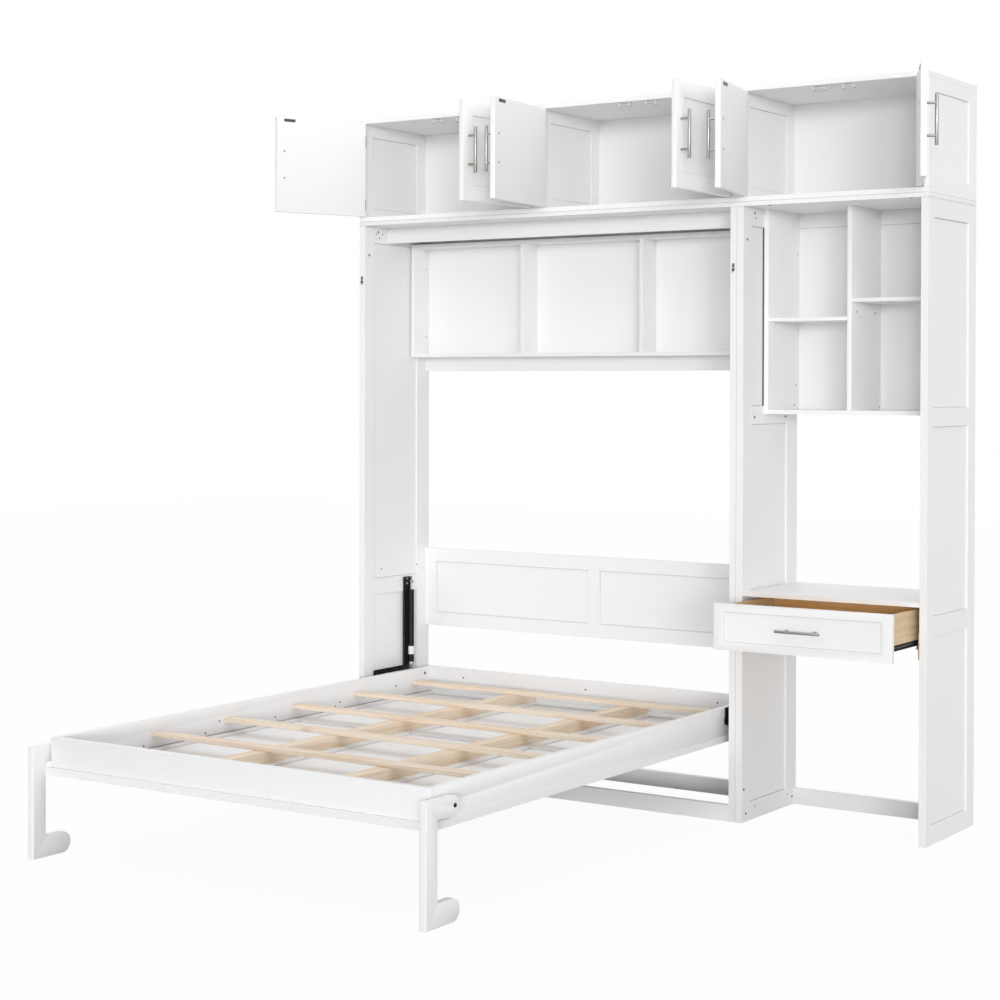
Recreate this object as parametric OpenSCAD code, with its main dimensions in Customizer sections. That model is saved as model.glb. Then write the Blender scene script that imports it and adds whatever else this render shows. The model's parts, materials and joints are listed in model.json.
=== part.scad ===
// Wall bed with a desk tower beside it and three cabinets on top.
// It stands in the open pose: bed down on its legs, doors open, drawer out.
// x = 0 is the centreline of the bed, y = 0 the wall, z = 0 the floor.
// The front edges of the towers lie at y = -tower_d.

/* [Towers] */
// Height of both towers under the cabinets
tower_h = 2026; // [2020:1:2080]
// Depth from the front edges to the wall
tower_d = 404; // [396:1:460]
// Outer width of the tower that holds the bed
bed_tower_w = 1551; // [1545:1:1600]
// Outer width of the tower that holds the desk
desk_tower_w = 659; // [600:1:760]
// Thickness of the upright side panels
panel_t = 24; // [20:1:30]
// Thickness of the board that closes each tower at the top
top_board_t = 15; // [12:1:18]
// Thickness of the rails that tie the side panels together
rail_t = 20; // [16:1:21]
// Height of the rails along the floor
floor_rail_h = 54; // [40:1:56]
// Width of a frame member around a sunk field
frame_w = 60; // [45:1:70]
// How deep a field is sunk below its frame
sink = 6; // [3:1:8]

/* [Shelves above the bed] */
// Distance of the shelf case below the tower's top board
shelf_drop = 53; // [50:1:80]
// Height of the shelf case
shelf_case_h = 426; // [380:1:460]
// Distance of the case's front edge from the tower front
shelf_set_back = 288; // [270:1:320]
// Thickness of the shelf boards
shelf_t = 14; // [10:1:18]
// Thickness of the back boards
back_t = 10; // [6:1:12]
// Distance of the header rail from the tower front
header_set_back = 140; // [130:1:180]
// Height of the header rail
header_h = 56; // [40:1:70]
// Height of the rail under the shelf case
shelf_rail_h = 51; // [40:1:60]

/* [Headboard] */
// Height of the headboard's lower edge
headboard_z = 512; // [480:1:560]
// Height of the board itself
headboard_h = 294; // [200:1:360]
// Width of its frame members
headboard_frame = 50; // [40:1:60]

/* [Desk] */
// Height of the desk's working face
desk_z = 757; // [720:1:780]
// Thickness of the desk board
desk_t = 15; // [12:1:25]
// Distance of the shelf box over the desk from the tower front
hutch_set_back = 150; // [120:1:220]
// Height of the shelf box, up to the tower's top board
hutch_h = 677; // [620:1:740]
// Thickness of its sides and divider
hutch_t = 16; // [12:1:18]
// Height of the left loose shelf above the underside of the shelf box
left_shelf_up = 306; // [200:1:420]
// Height of the right loose shelf above the underside of the shelf box
right_shelf_up = 365; // [200:1:420]
// Thickness of the loose shelves
loose_shelf_t = 12; // [9:1:16]

/* [Drawer] */
// Height of the drawer front
drawer_front_h = 147; // [120:1:180]
// Thickness of the drawer front
drawer_front_t = 18; // [15:1:22]
// How far the drawer stands open
drawer_open = 205; // [0:1:280]
// Length of the drawer box
drawer_box_l = 360; // [300:1:375]
// Height of the box sides
drawer_box_h = 109; // [80:1:115]
// Thickness of the box sides
drawer_side_t = 12; // [9:1:15]
// Free width on each side for the runners
runner_gap = 12; // [12:0.5:14]
// Thickness of the wooden blocks that carry the runners
cleat_t = 13; // [10:1:18]

/* [Cabinets] */
// Height of the cabinets on top
cabinet_h = 374; // [340:1:420]
// Thickness of the cabinet boards
cabinet_t = 16; // [12:1:18]
// Thickness of a door
door_t = 18; // [15:1:20]
// Gap around each door
door_gap = 3; // [2.6:0.1:4]
// Width of the doors' frame members
door_frame = 52; // [40:1:70]
// Opening angles of the six doors, from left to right
door_open = [110.8, 84.8, 84.8, 90.2, 78.8, 114.8];

/* [Handles] */
// Length of a bar handle
handle_l = 152; // [120:1:180]
// Distance between its two posts
handle_span = 96; // [64:32:96]
// Radius of the bar
handle_r = 5.5; // [4:0.5:6]
// Distance of the bar's axis from the face
handle_out = 30; // [25:1:32]
// Distance of the handle from a door's free edge
handle_inset = 28; // [20:1:40]

/* [Bed] */
// Free width between the bed frame and each side panel
bed_side_room = 45.5; // [45:0.5:52]
// Free height between the folded bed and the tower's top board
bed_top_room = 4; // [3:1:40]
// Distance of the bed's head end behind the tower front
bed_head_in = 350; // [340:1:352]
// Height of the rails' upper edges with the bed down
bed_top_z = 362; // [356:1:368]
// Height of the rails
bed_rail_h = 91; // [80:1:95]
// Thickness of the rails
bed_rail_t = 20; // [18:1:25]
// Thickness of the face panels under the bed
face_t = 22; // [18:1:22]
// How far the face panels stand out beside the rails
face_side_lip = 7; // [3:1:7]
// How far the face panels stand out beyond the foot rail
face_foot_lip = 10; // [4:1:10]
// How far the face panels end short of the bed's head end
face_head_gap = 23; // [22:1:30]
// Height of the bed's pivot
pivot_z = 320; // [319:1:321]
// Distance of the pivot behind the tower front
pivot_in = 73; // [72:1:74]
// Number of slats
slat_n = 5; // [4:1:8]
// Width of a slat
slat_w = 48; // [40:1:70]
// Thickness of a slat
slat_t = 14; // [12:1:24]
// Distance of the first slat's centre from the head end
first_slat = 122; // [100:1:160]
// Distance of the last slat's centre from the foot end
last_slat = 436; // [120:1:450]
// Height of the lengthwise supports under the slats
support_h = 35; // [30:1:40]
// Width of the lengthwise supports
support_w = 50; // [30:1:70]

/* [Legs] */
// Thickness of a leg
leg_t = 24; // [18:1:26]
// Width of its post
leg_post_w = 50; // [40:1:54]
// Reach from the post's front edge to the pivot bolt
leg_reach = 126; // [120:1:130]
// Height of the arm that holds the pivot bolt
leg_arm_h = 52; // [44:1:56]
// Height of the pivot bolt
leg_bolt_z = 312; // [308:1:316]
// Height of the foot
leg_foot_h = 64; // [50:1:70]
// Gap between the face panels and a leg
leg_gap = 1.5; // [1:0.1:3]
// Radius of the leg bolts
leg_bolt_r = 4; // [3:0.5:5]

/* [Lift] */
// Radius of the pins that the bed turns on
pivot_r = 8; // [6:0.5:10]
// Distance of the gas springs behind the tower front
strut_in = 264; // [262:1:268]
// Height of a gas spring's upper eye
strut_top_z = 686; // [684:1:694]
// Height of a gas spring's lower eye
strut_low_z = 355; // [350:1:358]
// Radius of the gas spring's cylinder
strut_r = 11; // [9:0.5:11]
// Radius of its piston rod
rod_r = 4; // [3:0.5:5]
// Thickness of the steel plates
plate_t = 4.5; // [3:0.5:5]
// Radial clearance of pins in their holes
pin_fit = 0.05; // [0.02:0.01:0.08]

/* [Hidden] */
$fn = 48;

eps = 1;
front = -tower_d;
bay_half = bed_tower_w / 2 - panel_t;
desk_x0 = bed_tower_w / 2;
desk_in0 = desk_x0 + panel_t;
desk_in1 = desk_x0 + desk_tower_w - panel_t;
desk_mid = (desk_in0 + desk_in1) / 2;
side_h = tower_h - top_board_t;
shelf_top_z = side_h - shelf_drop;
shelf_z = shelf_top_z - shelf_case_h;
hutch_z = side_h - hutch_h;
left_shelf_z = hutch_z + left_shelf_up;
right_shelf_z = hutch_z + right_shelf_up;
bed_w = 2 * (bay_half - bed_side_room);
rail_y = -rail_t;
back_y = rail_y;

white = [0.95, 0.95, 0.95];
pine = [0.93, 0.78, 0.58];
plywood = [0.80, 0.62, 0.40];
black = [0.08, 0.08, 0.08];
steel = [0.70, 0.70, 0.72];

// Fields of the desk tower's panels and of the bed tower's panels
field_top = side_h - frame_w;
field_step = (side_h - frame_w) / 3;
desk_fields = [for (i = [0:2]) [frame_w + i * field_step, (i + 1) * field_step]];
bed_fields = [desk_fields[0], [desk_fields[1][0], field_top]];

// Upright panel in the YZ plane with sunk fields on both faces
module side_panel(x, t, h, d, front_w, rear_w, fields, z = 0, sink = sink) {
    translate([x, front, z])
    difference() {
        cube([t, d, h]);
        for (f = fields, side = [-eps, t - sink])
            translate([side, front_w, f[0]])
            cube([sink + eps, d - front_w - rear_w, f[1] - f[0]]);
    }
}

module bed_side_left() {
    color(white)
    side_panel(-bed_tower_w / 2, panel_t, side_h, tower_d, frame_w, frame_w + 18, bed_fields);
}

module bed_side_right() {
    color(white)
    side_panel(bay_half, panel_t, side_h, tower_d, frame_w, frame_w + 18, bed_fields);
}

module desk_side_left() {
    color(white)
    side_panel(desk_x0, panel_t, side_h, tower_d, frame_w, frame_w + 18, desk_fields);
}

module desk_side_right() {
    color(white)
    side_panel(desk_in1, panel_t, side_h, tower_d, frame_w - 12, frame_w + 4, desk_fields);
}

module top_boards() {
    color(white) {
        translate([-bed_tower_w / 2, front, side_h]) cube([bed_tower_w, tower_d, top_board_t]);
        translate([desk_x0, front, side_h]) cube([desk_tower_w, tower_d, top_board_t]);
    }
}

module header_rail() {
    color(white)
    translate([-bay_half, front + header_set_back, side_h - header_h])
    cube([2 * bay_half, rail_t, header_h]);
}

// Rail behind the shelf case, with the two holes for wall anchors
anchor_r = 4;
anchor_span = 1200;
module wall_rail() {
    rail_h = side_h - shelf_top_z;
    color(white)
    difference() {
        translate([-bay_half, rail_y, shelf_top_z]) cube([2 * bay_half, rail_t, rail_h]);
        for (x = [-anchor_span / 2, anchor_span / 2])
            translate([x, eps, shelf_top_z + rail_h / 2])
            rotate([90, 0, 0])
            cylinder(r = anchor_r, h = rail_t + 2 * eps);
    }
}

shelf_y = front + shelf_set_back;
shelf_depth = back_y - shelf_y;
module shelf_case() {
    inner_h = shelf_top_z - shelf_z - 2 * shelf_t;
    color(white) {
        for (z = [shelf_z, shelf_top_z - shelf_t])
            translate([-bay_half, shelf_y, z]) cube([2 * bay_half, shelf_depth, shelf_t]);
        for (x = [-bay_half, bay_half - shelf_t, -bay_half / 3 - shelf_t / 2, bay_half / 3 - shelf_t / 2])
            translate([x, shelf_y, shelf_z + shelf_t]) cube([shelf_t, shelf_depth, inner_h]);
    }
}

module shelf_back() {
    color(white)
    translate([-bay_half, back_y, shelf_z]) cube([2 * bay_half, back_t, shelf_top_z - shelf_z]);
}

module shelf_rail() {
    color(white)
    translate([-bay_half, rail_y, shelf_z - shelf_rail_h]) cube([2 * bay_half, rail_t, shelf_rail_h]);
}

module headboard() {
    field_w = bay_half - 1.5 * headboard_frame;
    color(white)
    difference() {
        translate([-bay_half, rail_y, headboard_z]) cube([2 * bay_half, rail_t, headboard_h]);
        for (x = [-bay_half + headboard_frame, headboard_frame / 2], y = [rail_y - eps, -sink])
            translate([x, y, headboard_z + headboard_frame])
            cube([field_w, sink + eps, headboard_h - 2 * headboard_frame]);
    }
}

module floor_rails() {
    color(white) {
        for (y = [front, rail_y])
            translate([-bay_half, y, 0]) cube([2 * bay_half, rail_t, floor_rail_h]);
        translate([desk_in0, rail_y, 0]) cube([desk_in1 - desk_in0, rail_t, floor_rail_h]);
    }
}

// Small catch plates on the tower's front edges
catch_drop = 199;
catch_z = side_h - catch_drop;
catch_w = 9;
catch_h = 30;
module bed_catches() {
    color(steel)
    for (side = [-1, 1])
        translate([side * (bay_half + panel_t / 2), front, catch_z]) {
            translate([-catch_w / 2, -2, -catch_h / 2]) cube([catch_w, 2, catch_h]);
            translate([0, -2, -catch_h / 5]) rotate([90, 0, 0]) cylinder(r = 3, h = 5);
            translate([0, -2, catch_h / 4]) rotate([90, 0, 0]) cylinder(r = 3, h = 1.5);
        }
}

// Fastener heads on the panels' inner faces: [distance from front, height]
screw_r = 4;
screw_out = 1;
low_screws = [[16, 108], [30, 27], [tower_d - 30, 27]];
top_screws = [[27, side_h - 106], [tower_d / 5, side_h - 18]];
module screw_head(x, side, place) {
    translate([x, front + place[0], place[1]])
    rotate([0, 90 * side, 0])
    cylinder(r = screw_r, h = screw_out);
}

module tower_screws() {
    mid_screws = [for (y = [84, tower_d - 92], z = [desk_z - 8, hutch_z - 10]) [y, z]];
    color(black) {
        for (s = concat(low_screws, top_screws)) {
            screw_head(-bay_half, 1, s);
            screw_head(bay_half, -1, s);
        }
        for (s = concat(low_screws, top_screws, [mid_screws[1], mid_screws[3]])) {
            screw_head(desk_in0, 1, s);
            screw_head(desk_in1, -1, s);
        }
    }
}

// ---- Shelf box over the desk ----
hutch_y = front + hutch_set_back;
hutch_depth = back_y - hutch_y;
hutch_in0 = desk_in0 + hutch_t;
hutch_in1 = desk_in1 - hutch_t;
module hutch_sides() {
    color(white)
    for (x = [desk_in0, hutch_in1])
        translate([x, hutch_y, hutch_z]) cube([hutch_t, hutch_depth, side_h - hutch_z]);
}

module hutch_floor() {
    color(white)
    translate([hutch_in0, hutch_y, hutch_z]) cube([hutch_in1 - hutch_in0, hutch_depth, shelf_t]);
}

module hutch_divider() {
    z0 = hutch_z + shelf_t;
    color(white)
    translate([desk_mid - hutch_t / 2, hutch_y, z0]) cube([hutch_t, hutch_depth, side_h - z0]);
}

module hutch_shelves() {
    w = desk_mid - hutch_t / 2 - hutch_in0;
    color(white) {
        translate([hutch_in0, hutch_y + 2, left_shelf_z]) cube([w, hutch_depth - 2, loose_shelf_t]);
        translate([hutch_in1 - w, hutch_y + 2, right_shelf_z]) cube([w, hutch_depth - 2, loose_shelf_t]);
    }
}

desk_rail_h = 60;
module hutch_back() {
    color(white)
    translate([desk_in0, back_y, hutch_z])
    cube([desk_in1 - desk_in0, back_t, side_h - desk_rail_h - hutch_z]);
}

module desk_wall_rail() {
    color(white)
    translate([desk_in0, rail_y, side_h - desk_rail_h])
    cube([desk_in1 - desk_in0, rail_t, desk_rail_h]);
}

module desk_board() {
    color(white)
    translate([desk_in0, front, desk_z - desk_t]) cube([desk_in1 - desk_in0, tower_d, desk_t]);
}

// ---- Drawer and its runners ----
drawer_gap = 3;
drawer_w = desk_in1 - desk_in0 - 2 * drawer_gap;
drawer_front_z = desk_z - desk_t - 4 - drawer_front_h;
drawer_y = front - drawer_open;
box_w = desk_in1 - desk_in0 - 2 * cleat_t - 2 * runner_gap;
box_z = drawer_front_z + 31;
box_y = drawer_y + drawer_front_t;
drawer_bottom_t = 5;
cleat_z = drawer_front_z - 14;
cleat_h = 83;
runner_l = 350;
runner_z = box_z - 13;
runner_h = 20;
sheet = 1.5;
module drawer_cleats() {
    color(plywood)
    for (x = [desk_in0, desk_in1 - cleat_t])
        translate([x, front + drawer_front_t + 4, cleat_z]) cube([cleat_t, runner_l + 4, cleat_h]);
}

// Runs its children at both sides of the drawer; x = 0 is the box's side face
module at_box_sides() {
    for (side = [-1, 1])
        translate([desk_mid + side * box_w / 2, 0, 0])
        mirror([side < 0 ? 1 : 0, 0, 0])
        children();
}

roller_r = 4.4;
rear_roller_r = 7.9;
module drawer_runners() {
    y0 = front + drawer_front_t + 6;
    color(black)
    at_box_sides() {
        translate([runner_gap - sheet, y0, runner_z]) cube([sheet, runner_l, runner_h]);
        for (z = [runner_z, runner_z + runner_h - sheet])
            translate([3, y0, z]) cube([runner_gap - 3 - sheet, runner_l, sheet]);
        translate([3.4, y0 + 12, runner_z + sheet + roller_r])
        rotate([0, 90, 0])
        cylinder(r = roller_r, h = runner_gap - sheet - 3.4);
    }
}

module drawer_slides() {
    flange_z = box_z - sheet;
    roller_x = 2.8;
    color(black)
    at_box_sides() {
        translate([0, box_y, flange_z]) cube([sheet, drawer_box_l - 4, 16]);
        translate([sheet, box_y, flange_z]) cube([7, drawer_box_l - 30, sheet]);
        translate([roller_x, box_y + drawer_box_l - 14, runner_z + runner_h / 2])
        rotate([0, 90, 0])
        cylinder(r = rear_roller_r, h = runner_gap - sheet - roller_x - 0.4);
        translate([sheet, box_y + drawer_box_l - 14, runner_z + runner_h / 2])
        rotate([0, 90, 0])
        cylinder(r = 2.5, h = roller_x - sheet);
    }
}

module drawer_front() {
    w = drawer_w;
    color(white)
    difference() {
        translate([desk_mid - w / 2, drawer_y, drawer_front_z])
        cube([w, drawer_front_t, drawer_front_h]);
        translate([desk_mid - w / 2 + 34, drawer_y - eps, drawer_front_z + 26])
        cube([w - 68, sink - 1 + eps, drawer_front_h - 52]);
    }
}

module drawer_box() {
    inner_w = box_w - 2 * drawer_side_t;
    color(plywood) {
        for (x = [-box_w / 2, box_w / 2 - drawer_side_t])
            translate([desk_mid + x, box_y, box_z]) cube([drawer_side_t, drawer_box_l, drawer_box_h]);
        for (y = [0, drawer_box_l - drawer_side_t])
            translate([desk_mid - inner_w / 2, box_y + y, box_z])
            cube([inner_w, drawer_side_t, drawer_box_h]);
    }
}

module drawer_bottom() {
    inner_w = box_w - 2 * drawer_side_t;
    color(plywood)
    translate([desk_mid - inner_w / 2, box_y + drawer_side_t, box_z + 6])
    cube([inner_w, drawer_box_l - 2 * drawer_side_t, drawer_bottom_t]);
}

// Bar handle along z on a face at y = 0, with screw heads behind a board
module bar_handle(board_t) {
    translate([0, -handle_out, -handle_l / 2]) cylinder(r = handle_r, h = handle_l);
    for (z = [-handle_span / 2, handle_span / 2])
        translate([0, 0, z]) {
            rotate([90, 0, 0]) cylinder(r = 4, h = handle_out);
            translate([0, board_t, 0]) rotate([-90, 0, 0]) cylinder(r = 4, h = 1.2);
        }
}

module drawer_handle() {
    color(steel)
    translate([desk_mid, drawer_y + sink - 1, drawer_front_z + drawer_front_h / 2])
    rotate([0, 90, 0])
    bar_handle(drawer_front_t + drawer_side_t - sink + 1);
}

// ---- Cabinets on top ----
cab_x = [-bed_tower_w / 2, 0, desk_x0];
cab_w = [bed_tower_w / 2, bed_tower_w / 2, desk_tower_w];
cab_z = tower_h;
cab_in_z = cab_z + cabinet_t;
cab_in_h = cabinet_h - 2 * cabinet_t;
module cabinet(i) {
    color(white) {
        for (z = [cab_z, cab_z + cabinet_h - cabinet_t])
            translate([cab_x[i], front, z]) cube([cab_w[i], tower_d, cabinet_t]);
        for (x = [cab_x[i], cab_x[i] + cab_w[i] - cabinet_t])
            side_panel(x, cabinet_t, cab_in_h, tower_d, frame_w, frame_w + 8,
                [[36, cab_in_h - 44]], cab_in_z, sink = 4);
    }
}
module cabinet_left() { cabinet(0); }
module cabinet_middle() { cabinet(1); }
module cabinet_right() { cabinet(2); }

module cabinet_backs() {
    color(white)
    for (i = [0:2])
        translate([cab_x[i] + cabinet_t, -back_t - 4, cab_in_z])
        cube([cab_w[i] - 2 * cabinet_t, back_t, cab_in_h]);
}

// ---- Doors ----
hinge_out = 3.2;
hinge_h = 40;
knuckle_r = 3;
knuckle_h = 13;
hinge_pin_r = 1.2;
leaf_t = 1.2;
leaf_y = 3.6;
leaf_d = 15;
door_z = cab_in_z + 2;
door_h = cab_in_h - 4;
hinge_low_in = 44;
hinge_high_in = 62;
hinge_zs = [door_z + hinge_low_in, door_z + door_h - hinge_high_in];
strike_w = 45;
strike_h = 10;
strike_in = 27;
catch_deep = 14;
function cab_of(i) = floor(i / 2);
function hinge_left(i) = i % 2 == 0;
function door_w(i) = (cab_w[cab_of(i)] - 2 * cabinet_t - 3 * door_gap) / 2;
function hinge_x(i) = hinge_left(i)
    ? cab_x[cab_of(i)] + cabinet_t + door_gap / 2
    : cab_x[cab_of(i)] + cab_w[cab_of(i)] - cabinet_t - door_gap / 2;

// Door i's own frame: z on the hinge pin, x to the free edge, y inward
module door_frame_of(i, angle) {
    translate([hinge_x(i), front - hinge_out, 0])
    mirror([hinge_left(i) ? 0 : 1, 0, 0])
    rotate([0, 0, -angle])
    children();
}

module door(i) {
    w = door_w(i);
    color(white)
    door_frame_of(i, door_open[i])
    difference() {
        translate([door_gap / 2, hinge_out, door_z]) cube([w, door_t, door_h]);
        translate([door_gap / 2 + door_frame, hinge_out - eps, door_z + door_frame])
        cube([w - 2 * door_frame, sink - 1 + eps, door_h - 2 * door_frame]);
    }
}

module door_hardware(i) {
    w = door_w(i);
    color(steel)
    door_frame_of(i, door_open[i]) {
        translate([door_gap / 2 + w - handle_inset, hinge_out, door_z + door_h / 2])
        bar_handle(door_t);
        translate([door_gap / 2 + w - strike_in - strike_w, hinge_out + door_t, door_z + door_h - 16])
        cube([strike_w, leaf_t, strike_h]);
        for (z = hinge_zs) translate([0, 0, z]) door_leaf();
    }
}

module door_leaf() {
    knuckle = hinge_h - 2 * knuckle_h - 0.6;
    difference() {
        union() {
            cylinder(r = knuckle_r, h = knuckle, center = true);
            translate([door_gap / 2 - leaf_t, 0, -knuckle / 2]) cube([leaf_t, leaf_y + eps, knuckle]);
        }
        cylinder(r = hinge_pin_r + pin_fit, h = knuckle + 2 * eps, center = true);
    }
    translate([door_gap / 2 - leaf_t, leaf_y, -hinge_h / 2]) cube([leaf_t, leaf_d, hinge_h]);
}

module frame_leaf() {
    translate([-door_gap / 2, leaf_y, -hinge_h / 2]) cube([leaf_t, leaf_d, hinge_h]);
    for (z = [-hinge_h / 2, hinge_h / 2 - knuckle_h])
        translate([0, 0, z]) {
            cylinder(r = knuckle_r, h = knuckle_h);
            translate([-door_gap / 2, 0, 0]) cube([leaf_t, leaf_y + eps, knuckle_h]);
        }
    cylinder(r = hinge_pin_r, h = hinge_h - 2, center = true);
}

module hinge_leaves() {
    color(steel)
    for (i = [0:5], z = hinge_zs)
        door_frame_of(i, 0) translate([0, 0, z]) frame_leaf();
}

module magnetic_catches() {
    color(steel)
    for (i = [0:5])
        door_frame_of(i, 0)
        translate([door_gap / 2 + door_w(i) - strike_in - strike_w, hinge_out + door_t + 2,
            cab_in_z + cab_in_h - catch_deep])
        cube([strike_w, catch_deep, catch_deep]);
}

// ---- Bed ----
bed_head_y = front + bed_head_in;
// Folded up, the face panels' foot end stands just below the top board
bed_reach = side_h - bed_top_room - pivot_z - pivot_in;
bed_foot_y = front - bed_reach + face_foot_lip;
bed_l = bed_head_y - bed_foot_y;
bed_low_z = bed_top_z - bed_rail_h;
face_z = bed_low_z - face_t;
face_head_y = bed_head_y - face_head_gap;
face_foot_y = bed_foot_y - face_foot_lip;
pivot_y = front + pivot_in;
leg_bolt_y = bed_foot_y - face_foot_lip - 3 - leg_post_w + leg_reach;
leg_x = bed_w / 2 + face_side_lip + leg_gap;
module cross_rail(y) {
    translate([-bed_w / 2, y, bed_low_z]) cube([bed_w, bed_rail_t, bed_rail_h]);
}

module head_rail() {
    color(white) cross_rail(bed_head_y - bed_rail_t);
}

module foot_rail() {
    color(white) cross_rail(bed_foot_y);
}

module side_rails() {
    color(white)
    for (side = [-1, 1])
        difference() {
            translate([side * (bed_w - bed_rail_t) / 2 - bed_rail_t / 2, bed_foot_y + bed_rail_t, bed_low_z])
            cube([bed_rail_t, bed_l - 2 * bed_rail_t, bed_rail_h]);
            translate([side * bed_w / 2, leg_bolt_y, leg_bolt_z])
            rotate([0, 90, 0])
            cylinder(r = leg_bolt_r, h = 3 * bed_rail_t, center = true);
        }
}

// Three panels side by side, each with a short and a long sunk field
face_panel_w = (bed_w + 2 * face_side_lip) / 3;
face_gap = 1;
short_field = 705;
module face_panel(x) {
    l = face_head_y - face_foot_y;
    long_field = l - short_field - 3 * frame_w + 10;
    color(white)
    difference() {
        translate([x + face_gap / 2, face_foot_y, face_z]) cube([face_panel_w - face_gap, l, face_t]);
        for (f = [[frame_w - 5, long_field], [l - frame_w + 5 - short_field, short_field]],
             z = [face_z - eps, bed_low_z - sink])
            translate([x + frame_w, face_foot_y + f[0], z])
            cube([face_panel_w - 2 * frame_w, f[1], sink + eps]);
    }
}

module face_panels() {
    for (i = [-1.5, -0.5, 0.5]) face_panel(i * face_panel_w);
}

module long_supports() {
    color(pine)
    for (side = [-1, 1])
        translate([side * face_panel_w / 2 - support_w / 2, bed_foot_y + bed_rail_t, bed_low_z])
        cube([support_w, bed_l - 2 * bed_rail_t, support_h]);
}

slat_z = bed_low_z + support_h;
slat_pitch = (bed_l - first_slat - last_slat) / (slat_n - 1);
module slats() {
    color(pine)
    for (i = [0:slat_n - 1])
        translate([-bed_w / 2 + bed_rail_t, bed_head_y - first_slat - i * slat_pitch - slat_w / 2, slat_z])
        cube([bed_w - 2 * bed_rail_t, slat_w, slat_t]);
}

// Heads of the screws on the rails' inner faces: [distance from the head end, height above the panels]
rail_screws = [[244, 42], [1219, 42], [576, 24], [603, 12], [932, 18], [1287, 12], [1576, 10]];
module rail_screws() {
    inner = bed_w / 2 - bed_rail_t;
    color(black) {
        for (side = [-1, 1], s = rail_screws)
            translate([side * inner, bed_head_y - s[0], bed_low_z + s[1]])
            rotate([0, -90 * side, 0])
            cylinder(r = screw_r - 1, h = screw_out);
        for (x = [-bed_w * 0.38, 0, bed_w * 0.38])
            translate([x, bed_head_y - bed_rail_t, bed_low_z + 58])
            rotate([90, 0, 0])
            cylinder(r = screw_r - 1, h = screw_out);
    }
}

// ---- Lift: plates on the bed, plates on the tower, gas springs ----
strut_y = front + strut_in;
strut_x = bed_w / 2 + 25.5;
eye_r = 8;
eye_t = 9;
eye_pin_r = 4;
bracket_in = 60;
bracket_h = 45;
bracket_eye_r = 18;
module bed_brackets() {
    arm_end = 14;
    color(black)
    for (side = [-1, 1])
        mirror([side < 0 ? 1 : 0, 0, 0])
        translate([bed_w / 2, 0, 0]) {
            difference() {
                union() {
                    translate([0, front + bracket_in, bed_top_z - bracket_h])
                    cube([plate_t, strut_in - bracket_in + arm_end, bracket_h]);
                    translate([0, pivot_y, pivot_z])
                    rotate([0, 90, 0])
                    cylinder(r = bracket_eye_r, h = plate_t);
                }
                translate([-eps, pivot_y, pivot_z])
                rotate([0, 90, 0])
                cylinder(r = pivot_r + pin_fit, h = plate_t + 2 * eps);
            }
            translate([plate_t, strut_y, strut_low_z])
            rotate([0, 90, 0])
            cylinder(r = 6, h = strut_x - bed_w / 2 - eye_t / 2 - plate_t - 0.8);
        }
}

channel_in = 239;
channel_y = front + channel_in;
channel_w = 36;
channel_d = 8;
lift_plate_in = 55;
lift_plate_w = 86;
lift_bar_h = 21;
module lift_plates() {
    wall_x = bay_half;
    lift_top = bed_top_z + 9;
    color(black)
    for (side = [-1, 1])
        mirror([side < 0 ? 1 : 0, 0, 0]) {
            translate([wall_x - channel_d, channel_y, lift_top])
            difference() {
                cube([channel_d, channel_w, strut_top_z + 18 - lift_top]);
                translate([-eps, 5, 10])
                cube([channel_d - 3 + eps, channel_w - 10, strut_top_z - 22 - lift_top]);
            }
            translate([wall_x - plate_t, front + lift_plate_in, pivot_z - 50])
            cube([plate_t, lift_plate_w, lift_top - pivot_z + 50]);
            translate([wall_x - plate_t, front + lift_plate_in + lift_plate_w, lift_top - lift_bar_h])
            cube([plate_t, channel_in + channel_w - lift_plate_in - lift_plate_w, lift_bar_h]);
            translate([bed_w / 2 + 0.5, pivot_y, pivot_z])
            rotate([0, 90, 0])
            cylinder(r = pivot_r, h = wall_x - plate_t - bed_w / 2 - 0.5);
            translate([strut_x + eye_t / 2 + 0.5, channel_y, strut_top_z - 12])
            cube([wall_x - channel_d - strut_x - eye_t / 2 - 0.5, strut_in - channel_in + 12, 30]);
            translate([strut_x - eye_t / 2 - 1, strut_y, strut_top_z])
            rotate([0, 90, 0])
            cylinder(r = eye_pin_r, h = eye_t + 1.5);
        }
}

// Piston rods with the eyes on the upper pins and a piston at the lower end
cylinder_top = 655;
cylinder_low = strut_low_z + 12;
cylinder_wall = 1.5;
gland_h = 14;
piston_h = 8;
module strut_rod(side) {
    rod_low = cylinder_low + 8;
    translate([side * strut_x, strut_y, 0]) {
        difference() {
            union() {
                translate([-eye_t / 2, 0, strut_top_z]) rotate([0, 90, 0]) cylinder(r = eye_r, h = eye_t);
                translate([0, 0, rod_low + piston_h])
                cylinder(r = rod_r, h = strut_top_z - rod_low - piston_h - eye_pin_r - 1);
            }
            translate([-eye_t, 0, strut_top_z])
            rotate([0, 90, 0])
            cylinder(r = eye_pin_r + pin_fit, h = 2 * eye_t);
        }
        translate([0, 0, rod_low]) cylinder(r = strut_r - cylinder_wall - 0.3, h = piston_h);
    }
}

module strut_rods() {
    color(steel) for (side = [-1, 1]) strut_rod(side);
}

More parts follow.
